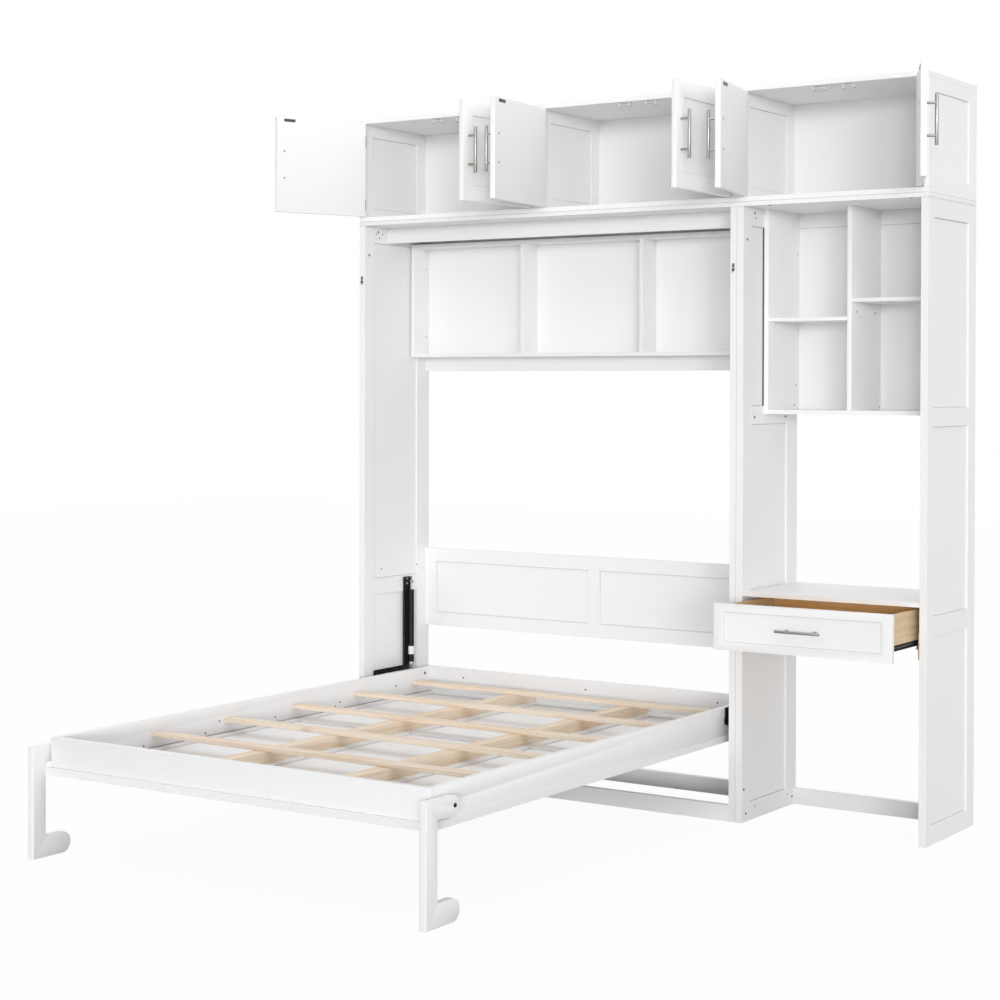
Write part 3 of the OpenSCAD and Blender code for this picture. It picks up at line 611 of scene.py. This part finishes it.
# Widths of the sides' members, the last two on the desk's open end, and the fields' depth
MEMBER, REAR_STILE, END_FRONT, END_REAR = 60.0, 78.0, 48.0, 64.0
SINK = 6.0
FIELD_STEP = (SIDE_H - MEMBER) / 3
DESK_ROWS = [(MEMBER + i * FIELD_STEP, (i + 1) * FIELD_STEP) for i in range(3)]
BED_ROWS = [DESK_ROWS[0], (DESK_ROWS[1][0], SIDE_H - MEMBER)]
# Each panel's joint lines show grey painted shade at their bottoms.
for node, rows, front_w, rear_w in (
        ("bed_side_left", BED_ROWS, MEMBER, REAR_STILE),
        ("bed_side_right", BED_ROWS, MEMBER, REAR_STILE),
        ("desk_side_left", DESK_ROWS, MEMBER, REAR_STILE),
        ("desk_side_right", DESK_ROWS, END_FRONT, END_REAR)):
    low, high = span(node)
    panel = Piece(node + "_panel", [WHITE, JOINT_SHADE])
    panel.framed(low, high, 0, [(low[1] + front_w, high[1] - rear_w)], rows, (SINK, SINK))
    panel.done("frame", node, WHITE_SLOT)

low, high = span("headboard")
BOARD_FRAME = 50.0
half_field = high[0] - 1.5 * BOARD_FRAME
# The headboard's joint lines show grey painted shade at their bottoms.
headboard = Piece("headboard_panel", [WHITE, JOINT_SHADE])
headboard.framed(low, high, 1,
                 [(low[0] + BOARD_FRAME, low[0] + BOARD_FRAME + half_field),
                  (BOARD_FRAME / 2, BOARD_FRAME / 2 + half_field)],
                 [(low[2] + BOARD_FRAME, high[2] - BOARD_FRAME)], (SINK, SINK))
headboard.done("frame", "headboard", WHITE_SLOT)

for node in ("top_boards", "header_rail", "wall_rail", "shelf_case", "shelf_rail", "floor_rails",
             "desk_wall_rail", "desk_board"):
    soften(node, "frame", WHITE)
# The shelf box's boards and the backs take the lightened white, painted light against their
# shade.
for node in ("hutch_sides", "hutch_floor", "hutch_divider", "hutch_shelves", "hutch_back",
             "cabinet_backs", "shelf_back"):
    soften(node, "frame", LIGHTENED_WHITE, 0.5)

# The fine lines where boards meet, grey strips of painted shade in the grooves between their
# eased edges
SEAM_HALF, SEAM_BACK, SEAM_DEEP = 0.5, 0.1, 1
board_low, board_high = span("top_boards")
seam_shade = Piece("board_seam_shade", [JOINT_SHADE])
for z in (board_low[2], board_high[2]):
    seam_shade.block((board_low[0] + SEAM_DEEP, FRONT + SEAM_BACK, z - SEAM_HALF),
                (board_high[0] - SEAM_DEEP, FRONT + SEAM_DEEP, z + SEAM_HALF))
    seam_shade.block((board_high[0] - SEAM_DEEP, FRONT + SEAM_DEEP, z - SEAM_HALF),
                (board_high[0] - SEAM_BACK, -SEAM_DEEP, z + SEAM_HALF))
seam_x = span("bed_side_right")[1][0]
seam_shade.block((seam_x - SEAM_HALF, FRONT + SEAM_BACK, 1),
            (seam_x + SEAM_HALF, FRONT + SEAM_DEEP, board_low[2] - 1))
seam_shade.done("frame", (), WHITE_SLOT, 0)

# A dark strip of painted shadow in the slit in the desk tower's sunk field, in front of the shelf
# box's left side
hutch_low, hutch_high = span("hutch_sides")
gap_shade_strip = Piece("hutch_gap_painted_shadow", [GAP_SHADOW])
gap_shade_strip.block((hutch_low[0] - SINK + 0.2, hutch_low[1] + 0.6, DESK_ROWS[2][0] + 1),
          (hutch_low[0] - 0.2, hutch_low[1] + 2, DESK_ROWS[2][1] - 1))
gap_shade_strip.done("frame", (), "pine", 0)

# The seam across the shelf box's back, clear of its sides: a grey strip of painted shade
SEAM_INSET, BACK_SEAM_Z = 17, (1961.4, 1962.6)
back_seam_shade = Piece("hutch_back_seam_shade", [JOINT_SHADE])
back_seam_shade.block((hutch_low[0] + SEAM_INSET, hutch_high[1] - 0.3, BACK_SEAM_Z[0]),
                (hutch_high[0] - SEAM_INSET, hutch_high[1] + 1, BACK_SEAM_Z[1]))
back_seam_shade.done("frame", (), WHITE_SLOT, 0)

# Pegs on the shelf case's left end and along its back, and dowels under the top board
PEG_OFF, PEG_IN = 16, 21
END_PEG_ZS, BACK_PEG_XS, BACK_PEG_Z = (1869, 1612), (-295, 255), 1558
shelf_low, shelf_high = span("shelf_case")
screws("shelf_pegs", "frame",
       [((shelf_low[0] + PEG_OFF, shelf_high[1] - PEG_IN, z), (1, 0, 0))
        for z in END_PEG_ZS]
       + [((x, shelf_high[1], BACK_PEG_Z), (0, -1, 0)) for x in BACK_PEG_XS],
       CAP, 3.4, 0.8)
DOWEL_XS, DOWEL_IN = (888, 1372), 14
screws("top_board_dowels", "frame",
       [((x, FRONT + DOWEL_IN, board_low[2]), (0, 0, -1)) for x in DOWEL_XS],
       DARK_STEEL, 5.0, 1.4)

# ---------------------------------------------------------------- cabinets
CAB_T, CAB_SINK, CAB_REAR = 16.0, 4, 8
CAB_FIELD_LOW, CAB_FIELD_HIGH = 36, 44
# The cases take the lightened white, painted light against the shade inside them, and their joint
# lines show grey painted shade.
for node in ("cabinet_left", "cabinet_middle", "cabinet_right"):
    low, high = span(node)
    case = Piece(node + "_case", [LIGHTENED_WHITE, JOINT_SHADE])
    case.block(low, (high[0], high[1], low[2] + CAB_T))
    case.block((low[0], low[1], high[2] - CAB_T), high)
    inner = (low[2] + CAB_T, high[2] - CAB_T)
    for x in (low[0], high[0] - CAB_T):
        case.framed((x, low[1], inner[0]), (x + CAB_T, high[1], inner[1]), 0,
                    [(low[1] + MEMBER, high[1] - MEMBER - CAB_REAR)],
                    [(inner[0] + CAB_FIELD_LOW, inner[1] - CAB_FIELD_HIGH)],
                    (CAB_SINK, CAB_SINK))
    case.done("frame", node, WHITE_SLOT)

# Each catch: a pale housing with two dark pole strips at its mouth and two screws below
STRIP_LOW, STRIP_HIGH, STRIP_END, STRIP_DEEP, STRIP_THICK = 3, 4, 7, 3, 1.4
HOUSING_BACK, CATCH_SCREW_END, CATCH_SCREW_BACK = 0.8, 4.5, 7
CATCH_SCREW = [(2.6, 0), (2.6, 0.8), (1.6, 1.2)]
for low, high in islands("magnetic_catches"):
    catch = Piece(f"door_catch_{round(low[0])}".replace("-", "m"), [CATCH_GREY, DARK_STEEL])
    catch.block((low[0], low[1] + HOUSING_BACK, low[2]), high)
    for z in (low[2] + STRIP_LOW, high[2] - STRIP_HIGH):
        catch.block((low[0] + STRIP_END, low[1], z),
                    (high[0] - STRIP_END, low[1] + STRIP_DEEP, z + STRIP_THICK), 1)
    for x in (low[0] + CATCH_SCREW_END, high[0] - CATCH_SCREW_END):
        catch.lathe((x, low[1] + CATCH_SCREW_BACK, low[2]), (0, 0, -1), CATCH_SCREW, 1, 16)
    catch.done("frame", "magnetic_catches", "brushed_steel", 0.5)
soften("hinge_leaves", "frame", BLACK, 0.3)

# The bed's catches: black studs on nickel plates 2 mm thick
soften("bed_catches", "frame", [NICKEL, BLACK], 0.3,
       zones=lambda middle: 1 if middle.y < FRONT - 2.2 else 0)

# ---------------------------------------------------------------- doors
# The drawer front's field is sunk as deep as the doors' fields.
DOOR_FRAME, DOOR_SINK = 52.0, 5.0
DOOR_Z = (2044, 2382)
WIDE_DOOR, NARROW_DOOR = 367.25, 309.0
HALF_GAP, HINGE_OUT = 1.5, 3.2
SCREW_SIZE, SCREW_SINK = 9, 0.6


def hardware_zone(solids):
    """A rule for a door's hardware: 0 bar, 1 hinge leaf, 2 strike plate or screw, 3 bar foot."""
    def zone(place):
        for low, high in solids:
            if all(p - 0.2 <= c <= q + 0.2 for p, c, q in zip(low, place, high)):
                tall = high[2] - low[2]
                return 0 if tall > 100 else 1 if tall > 30 else 3 if tall > 9 else 2
        return 0
    return zone


JOINTS = {joint["child"]: joint for joint in frame["joints"]}
for i in range(1, 7):
    body = f"door_{i}"
    joint = JOINTS[body]
    hand = 1 if joint["axis"][2] < 0 else -1
    swing = Matrix.Rotation(hand * math.radians(joint["range_deg"][0]), 3, "Z")
    inwards = swing @ Vector((0, 1, 0))
    # Each door takes the lightened white, painted light.
    soften(body, body, LIGHTENED_WHITE, 1.0)

    # The line of painted shade round the sunk field, drawn on the closed door and swung open with
    # it
    pin = Matrix.Translation([1000 * v for v in joint["pos_m"]])
    door_w = NARROW_DOOR if i > 4 else WIDE_DOOR
    spans = sorted([hand * (HALF_GAP + DOOR_FRAME), hand * (HALF_GAP + door_w - DOOR_FRAME)])
    z0 = -1000 * joint["pos_m"][2]
    shade_line = Piece(body + "_field_line", [JOINT_SHADE], pin @ swing.to_4x4())
    shade_line_round_field(shade_line, (spans[0], z0 + DOOR_Z[0] + DOOR_FRAME),
               (spans[1], z0 + DOOR_Z[1] - DOOR_FRAME), HINGE_OUT + DOOR_SINK)
    shade_line.done(body, (), WHITE_SLOT, 0)

    solids = islands(f"door_hardware_{i}")
    heads = [(Vector(middle_of(low, high)) - inwards * SCREW_SINK, inwards)
             for low, high in solids if all(q - p < SCREW_SIZE for p, q in zip(low, high))]
    soften(f"door_hardware_{i}", body, [NICKEL, BLACK, ZINC, DARK_STEEL], 0.3,
           zones=hardware_zone(solids))
    screws(f"handle_screws_{i}", body, heads, DARK_STEEL, 2.2, 1.4)

# ---------------------------------------------------------------- drawer
box_low, box_high = span("drawer_box")
WALL = 12.0
for part, finish, spans in (
        ("sides", PLY_SIDES, [((x, box_low[1]), (x + WALL, box_high[1]))
                              for x in (box_low[0], box_high[0] - WALL)]),
        ("ends", PLY_ENDS, [((box_low[0] + WALL, y), (box_high[0] - WALL, y + WALL))
                            for y in (box_low[1], box_high[1] - WALL)])):
    box = Piece("drawer_box_" + part, [finish])
    for corner, far in spans:
        box.block((*corner, box_low[2]), (*far, box_high[2]))
    cut_edges(box.mesh, 2)
    box.done("drawer", "drawer_box", "plywood", 0.6)
low, high = span("drawer_bottom")
bottom = Piece("drawer_bottom_sheet", [PLY_FLAT]).block(low, high)
bottom.done("drawer", "drawer_bottom", "plywood", 0.3)
soften("drawer_front", "drawer", WHITE)
low, high = span("drawer_front")
DRAWER_STILE, DRAWER_RAIL = 34, 26
# A line of painted shade round the drawer front's sunk field.
shade_line = Piece("drawer_field_line", [JOINT_SHADE])
shade_line_round_field(shade_line, (low[0] + DRAWER_STILE, low[2] + DRAWER_RAIL),
           (high[0] - DRAWER_STILE, high[2] - DRAWER_RAIL), low[1] + DOOR_SINK)
shade_line.done("drawer", (), WHITE_SLOT, 0)
soften("drawer_cleats", "frame", PLY_SIDES, 0.6)
soften("drawer_runners", "frame", BLACK, 0.3)
soften("drawer_slides", "drawer", BLACK, 0.3)

# The bar handle lies across: a bar with eased ends on two posts, screwed from inside
low, high = span("drawer_handle")
BAR_R, BAR_Y, BAR_Z = 4.2, low[1] + 4.6, (low[2] + high[2]) / 2
BAR = [(0.3, 0), (BAR_R - 1, 0.3), (BAR_R, 1.3), (BAR_R, 150.7), (BAR_R - 1, 151.7), (0.3, 152)]
POST = [(6.0, -1), (6.0, 1.2), (5.4, 2.0), (3.6, 2.6), (3.6, 33.5), (0.5, 34.0)]
POST_XS = (1057, 1153)
bar = Piece("drawer_bar_handle", [NICKEL_FLAT])
bar.lathe((low[0], BAR_Y, BAR_Z), (1, 0, 0), BAR)
for x in POST_XS:
    bar.lathe((x, span("drawer_front")[0][1] + DOOR_SINK, BAR_Z), (0, -1, 0), POST, 0, 24)
bar.done("drawer", "drawer_handle", "brushed_steel", 0)
SCREW_BACK = 27.0
screws("drawer_handle_screws", "drawer",
       [((x, high[1] - SCREW_BACK + 0.2, BAR_Z), (0, 1, 0)) for x in POST_XS],
       DARK_STEEL, 2.2, 1.0)

# The row of light rivets on each slide
RIVETS, RIVET_STEP, RIVET_START, RIVET_UP, SLIDE_OUT = 22, 15.5, 14, 6.5, 1.2
slide_y = span("drawer_slides")[0][1]
rivets = []
for k in range(RIVETS):
    y, z = slide_y + RIVET_START + k * RIVET_STEP, box_low[2] + RIVET_UP
    rivets += [((box_high[0] + SLIDE_OUT, y, z), (1, 0, 0)),
               ((box_low[0] - SLIDE_OUT, y, z), (-1, 0, 0))]
screws("slide_rivets", "drawer", rivets, NYLON, 1.9, 0.35, socket=0.5)

# ---------------------------------------------------------------- bed
# The foot rail takes the darkened white, painted shade.
soften("foot_rail", "bed", DARKENED_WHITE, 1.4)
for node in ("head_rail", "side_rails"):
    soften(node, "bed", WHITE, 1.4)
FACE_FRAME, FACE_END, FACE_SINK, SHORT_FIELD = 60.0, 55.0, 6.0, 705.0
# Each face panel's frame takes the darkened white (painted shade), its grooves' bottoms the dark
# painted shadow, and its fields the lightened white (painted light).
for k, (low, high) in enumerate(islands("face_panels")):
    face = Piece(f"face_panel_{k + 1}", [DARKENED_WHITE, GAP_SHADOW, LIGHTENED_WHITE])
    long_field = high[1] - low[1] - SHORT_FIELD - FACE_FRAME - 2 * FACE_END
    face.framed(low, high, 2, [(low[0] + FACE_FRAME, high[0] - FACE_FRAME)],
                [(low[1] + FACE_END, low[1] + FACE_END + long_field),
                 (high[1] - FACE_END - SHORT_FIELD, high[1] - FACE_END)],
                (FACE_SINK, FACE_SINK), v_axis=1, joint=2.2, field_finish=2)
    face.done("bed", "face_panels", WHITE_SLOT, 0.8)

# A dark line of painted shadow along each side rail's foot, where it meets the face panels
rail_low, rail_high = span("side_rails")
foot_y, head_y = span("foot_rail")[1][1], span("head_rail")[0][1]
RAIL_T, LINE_W = 20.0, 2.6
INNER_X = rail_high[0] - RAIL_T
line = Piece("rail_joint_painted_shadow", [GAP_SHADOW])
for x in (-INNER_X, INNER_X - LINE_W):
    line.block((x, foot_y + 1, rail_low[2]), (x + LINE_W, head_y - 1, rail_low[2] + 0.8))
line.done("bed", (), "pine", 0.2)

# Each support has a row of wooden plugs on its upper side
PLUG_START, PLUG_STEP, PLUG = 80, 420, [(4.0, 0), (4.0, 2.2), (2.5, 2.4)]
for k, (low, high) in enumerate(islands("long_supports")):
    support = Piece(f"long_support_{k + 1}", [PINE_ALONG])
    support.block(low, high)
    for y in range(round(low[1]) + PLUG_START, round(high[1]), PLUG_STEP):
        support.lathe(((low[0] + high[0]) / 2, y, high[2] - 2), (0, 0, 1), PLUG, 0, 16)
    support.done("bed", "long_supports", "pine", 2.0, 3)

slat_boxes = islands("slats")
low, high = slat_boxes[0]
row = grown("slat_row", slat_tree(), bpy.data.meshes.new("slat_start"), Count=len(slat_boxes),
            Pitch=(slat_boxes[1][0][1] - low[1]) * 0.001, Length=(high[0] - low[0]) * 0.001,
            Width=(high[1] - low[1]) * 0.001, Thickness=(high[2] - low[2]) * 0.001,
            Seed=4, Finish=PINE_ACROSS)
row.transform(Matrix.Translation([(p + q) * 0.0005 for p, q in zip(low, high)]))
settle("slat_row", row, "bed", "slats", 3.0, 3)

# ---------------------------------------------------------------- small fasteners
# Heads on the panels' inner faces look into their own bay, the bed's or the desk's
BED_BAY_HALF, DESK_MIDDLE = 775, 1105.0
for node, size in (("tower_screws", 4.0), ("rail_screws", 3.0)):
    heads = []
    for low, high in islands(node):
        middle = middle_of(low, high)
        axis = min(range(3), key=lambda k: high[k] - low[k])
        bay = 0.0 if abs(middle[0]) < BED_BAY_HALF or axis != 0 else DESK_MIDDLE
        facing = [0, 0, 0]
        facing[axis] = -1 if (axis == 1 or middle[0] > bay) else 1
        middle[axis] = low[axis] if facing[axis] > 0 else high[axis]
        heads.append((middle, facing))
    screws(node + "_heads", "frame" if node == "tower_screws" else "bed", heads, BLACK,
           size, 1.0, node)

# Small fasteners on faces that look to the right, from the photo: {x: [(y, z), ...]}
BED_LEFT, BED_RIGHT, DESK_LEFT, DIVIDER = -751.5, 799.5, 815.5, 1113
RIGHTWARD = {
    BED_LEFT: [(-300, 744), (-80, 745), (-335, 1985), (-295, 1987), (-314, 1971), (-60, 1867)],
    BED_RIGHT: [(-307, 41), (-67, 41), (-319, 1978)],
    DESK_LEFT: [(-43, 1431), (-53, 1363)],
    DIVIDER: [(-216, 1668), (-66, 1668), (-30, 1357)],
}
screws("small_fasteners", "frame",
       [((x, y, z), (1, 0, 0)) for x, places in RIGHTWARD.items() for y, z in places],
       DARK_STEEL, 2.8, 0.8)
SHELF_PINS = [(-38, 1874), (-200, 1632)]
screws("shelf_pins", "frame", [((DESK_LEFT, y, z), (1, 0, 0)) for y, z in SHELF_PINS],
       BRASS, 2.8, 1.2, socket=0.3)
FOOT_CAP_XS, FOOT_CAP_Z = (-237, 237), 300
screws("foot_rail_caps", "bed",
       [((x, span("foot_rail")[0][1], FOOT_CAP_Z), (0, -1, 0)) for x in FOOT_CAP_XS],
       WHITE, 5.5, 0.8, socket=0.2)

# ---------------------------------------------------------------- legs
soften("leg_left", "leg_left", WHITE, 2.0)
soften("leg_right", "leg_right", WHITE, 2.0)
LEG_BOLT_Y, LEG_BOLT_Z = -1945.0, 312.0
RAIL_IN, RAIL_OUT = 686, 706
# Profiles are [(radius, distance out)]. The shank is thinner than the legs' 4.05 mm bore.
BOLT = [(0.5, -1.0), (7.5, -0.6), (7.5, 0.2), (3.85, 0.4), (3.85, 53.0), (6.0, 53.2),
        (6.0, 54.2), (5.6, 56.4), (4.4, 57.8), (0.5, 58.0)]
WASHER = [(8.4, 52.6), (9.0, 53.2), (8.6, 54.0)]
PAD = [(6.6, 0.1), (22.4, 0.1), (23.0, 0.8), (23.0, 7.2), (22.2, 8.0), (6.6, 8.0)]
for side, name in ((-1, "left"), (1, "right")):
    out = (side, 0, 0)
    bolt = Piece("leg_bolt_" + name, [BLACK, BAND])
    bolt.lathe((side * RAIL_IN, LEG_BOLT_Y, LEG_BOLT_Z), out, BOLT)
    bolt.lathe((side * RAIL_IN, LEG_BOLT_Y, LEG_BOLT_Z), out, WASHER, 1)
    bolt.done("bed", "bed_bolts", "black_steel", 0)
    pad = Piece("leg_pad_" + name, [NYLON])
    pad.lathe((side * RAIL_OUT, LEG_BOLT_Y, LEG_BOLT_Z), out, PAD, 0, 48)
    pad.done("bed", "bed_bolts", WHITE_SLOT, 0)

# The flat heads at the bed's corners, inside the side rails
HEAD_FLAT = 3
corner_heads = []
for low, high in islands("bed_bolts"):
    if high[0] - low[0] < HEAD_FLAT:
        side = 1 if low[0] > 0 else -1
        _, y, z = middle_of(low, high)
        corner_heads.append(((side * RAIL_IN, y, z), (-side, 0, 0)))
screws("corner_bolts", "bed", corner_heads, BLACK, 5.0, 1.2, "bed_bolts")

# ---------------------------------------------------------------- lift
soften("bed_brackets", "bed", BLACK, 0.5)
soften("lift_plates", "frame", BLACK, 0.5)
BRACKET_X, PLATE_X, BLOCK_X = 709.0, 748.5, 736.5
BRACKET_YS, BRACKET_Z = (-290, -240, -190), 340
PLATE_PLACES = [(-335, 284), (-277, 284), (-335, 358), (-277, 358), (-210, 360)]
BLOCK_PLACES = [(-160, 699), (-134, 700), (-161, 680)]
screws("bracket_screws", "bed",
       [((side * BRACKET_X, y, BRACKET_Z), (side, 0, 0)) for side in (-1, 1) for y in BRACKET_YS],
       DARK_STEEL, 4.5, 1.6)
screws("plate_screws", "frame",
       [((side * PLATE_X, y, z), (-side, 0, 0)) for side in (-1, 1) for y, z in PLATE_PLACES],
       DARK_STEEL, 4.5, 1.6)
screws("block_screws", "frame",
       [((side * BLOCK_X, y, z), (-side, 0, 0)) for side in (-1, 1) for y, z in BLOCK_PLACES],
       ZINC, 2.6, 1.2)
ZINC_TOP, BAND_LOW, BAND_HIGH, COLLAR_LOW = 383, 412, 442, 648


def spring_zone(middle):
    """0 black tube, 1 pale band, 2 zinc end."""
    return 1 if BAND_LOW < middle.z < BAND_HIGH else 2 if middle.z < ZINC_TOP else 0


soften("strut_cylinders", "spring_cylinders", [BLACK, BAND, ZINC], 0.4,
       {2: [ZINC_TOP, BAND_LOW, BAND_HIGH, COLLAR_LOW]}, spring_zone)
soften("strut_rods", "spring_rods", CHROME, 0.3)

# ---------------------------------------------------------------- room
scene = bpy.context.scene
world = bpy.data.worlds.new("studio")
scene.world = world
world.use_nodes = True
wnodes, wlinks = world.node_tree.nodes, world.node_tree.links
soft_sky = wnodes["Background"]
soft_sky.inputs["Color"].default_value = (1.0, 1.0, 1.0, 1)
soft_sky.inputs["Strength"].default_value = 0.35
seen = wnodes.new("ShaderNodeBackground")
seen.inputs["Strength"].default_value = 1.0
seen.inputs["Color"].default_value = (1, 1, 1, 1)
path = wnodes.new("ShaderNodeLightPath")


def either_of(first, second):
    """1 where either of two sockets is."""
    made = wnodes.new("ShaderNodeMath")
    made.operation = "MAXIMUM"
    wlinks.new(first, made.inputs[0])
    wlinks.new(second, made.inputs[1])
    return made.outputs[0]


# The camera and mirrored rays see plain white. All other rays see a softer sky.
mirrored = either_of(path.outputs["Is Glossy Ray"], path.outputs["Is Transmission Ray"])
blend = wnodes.new("ShaderNodeMixShader")
wlinks.new(either_of(path.outputs["Is Camera Ray"], mirrored), blend.inputs[0])
wlinks.new(soft_sky.outputs[0], blend.inputs[1])
wlinks.new(seen.outputs[0], blend.inputs[2])
wlinks.new(blend.outputs[0], wnodes["World Output"].inputs["Surface"])

floor_data = bpy.data.meshes.new("studio_floor")
FLOOR_HALF, FLOOR_Z = 14.0, -0.0005
CORNERS = ((-1, -1), (1, -1), (1, 1), (-1, 1))
floor_data.from_pydata([(x * FLOOR_HALF, y * FLOOR_HALF, FLOOR_Z) for x, y in CORNERS], [],
                       [(0, 1, 2, 3)])
floor = bpy.data.objects.new("studio_floor", floor_data)
bpy.context.collection.objects.link(floor)
pale = Finish("pale_floor", Roughness=0.9)
pale.shader.inputs["Specular IOR Level"].default_value = 0.1
speck = pale.noise(3.0, 3.0)
pale.set("Base Color", pale.mix(speck, (0.67, 0.67, 0.67), (0.69, 0.69, 0.69)))

# To the camera the floor is nearly all glow, so that it meets the white background
GLOW, GLOW_SHARE = 1.02, 0.93
glow = pale.node("Emission", None, {"Color": (1, 1, 1, 1), "Strength": GLOW})
ray = pale.node("LightPath", None, None, "Is Camera Ray")
plain = Value(pale, pale.shader.outputs[0])
mixed = pale.node("MixShader", None, {0: ray * GLOW_SHARE, 1: plain, 2: glow})
pale.tree.links.new(mixed.socket, pale.tree.nodes["Material Output"].inputs["Surface"])
floor_data.materials.append(pale.material)


LIGHT_FAR = 8


def soft_sun(name, azimuth, elevation, strength, angle):
    """A broad light from far off: azimuth 0 comes from the front, 90 from the desk's side.

    Strength is what a face turned to it receives. The angle is the light's width in degrees.
    """
    data = bpy.data.lights.new(name, "SUN")
    data.energy = strength * math.pi
    data.angle = math.radians(angle)
    a, e = math.radians(azimuth), math.radians(elevation)
    away = Vector((math.sin(a) * math.cos(e), -math.cos(a) * math.cos(e), math.sin(e)))
    made = bpy.data.objects.new(name, data)
    made.location = away * LIGHT_FAR
    made.rotation_euler = away.to_track_quat("Z", "Y").to_euler()
    bpy.context.collection.objects.link(made)


soft_sun("wide_front_panel", 37, 4, 0.22, 12)
soft_sun("second_front_panel", 25, 3, 0.22, 10)
soft_sun("right_front_panel", 50, 6, 0.08, 24)
soft_sun("high_front_softbox", 36, 32, 0.03, 50)
soft_sun("overhead_softbox", 35, 84, 0.42, 110)
soft_sun("right_softbox", 82, 12, 0.05, 60)
soft_sun("rear_fill", 225, 10, 0.15, 100)

# ---------------------------------------------------------------- the end
bpy.context.view_layer.update()
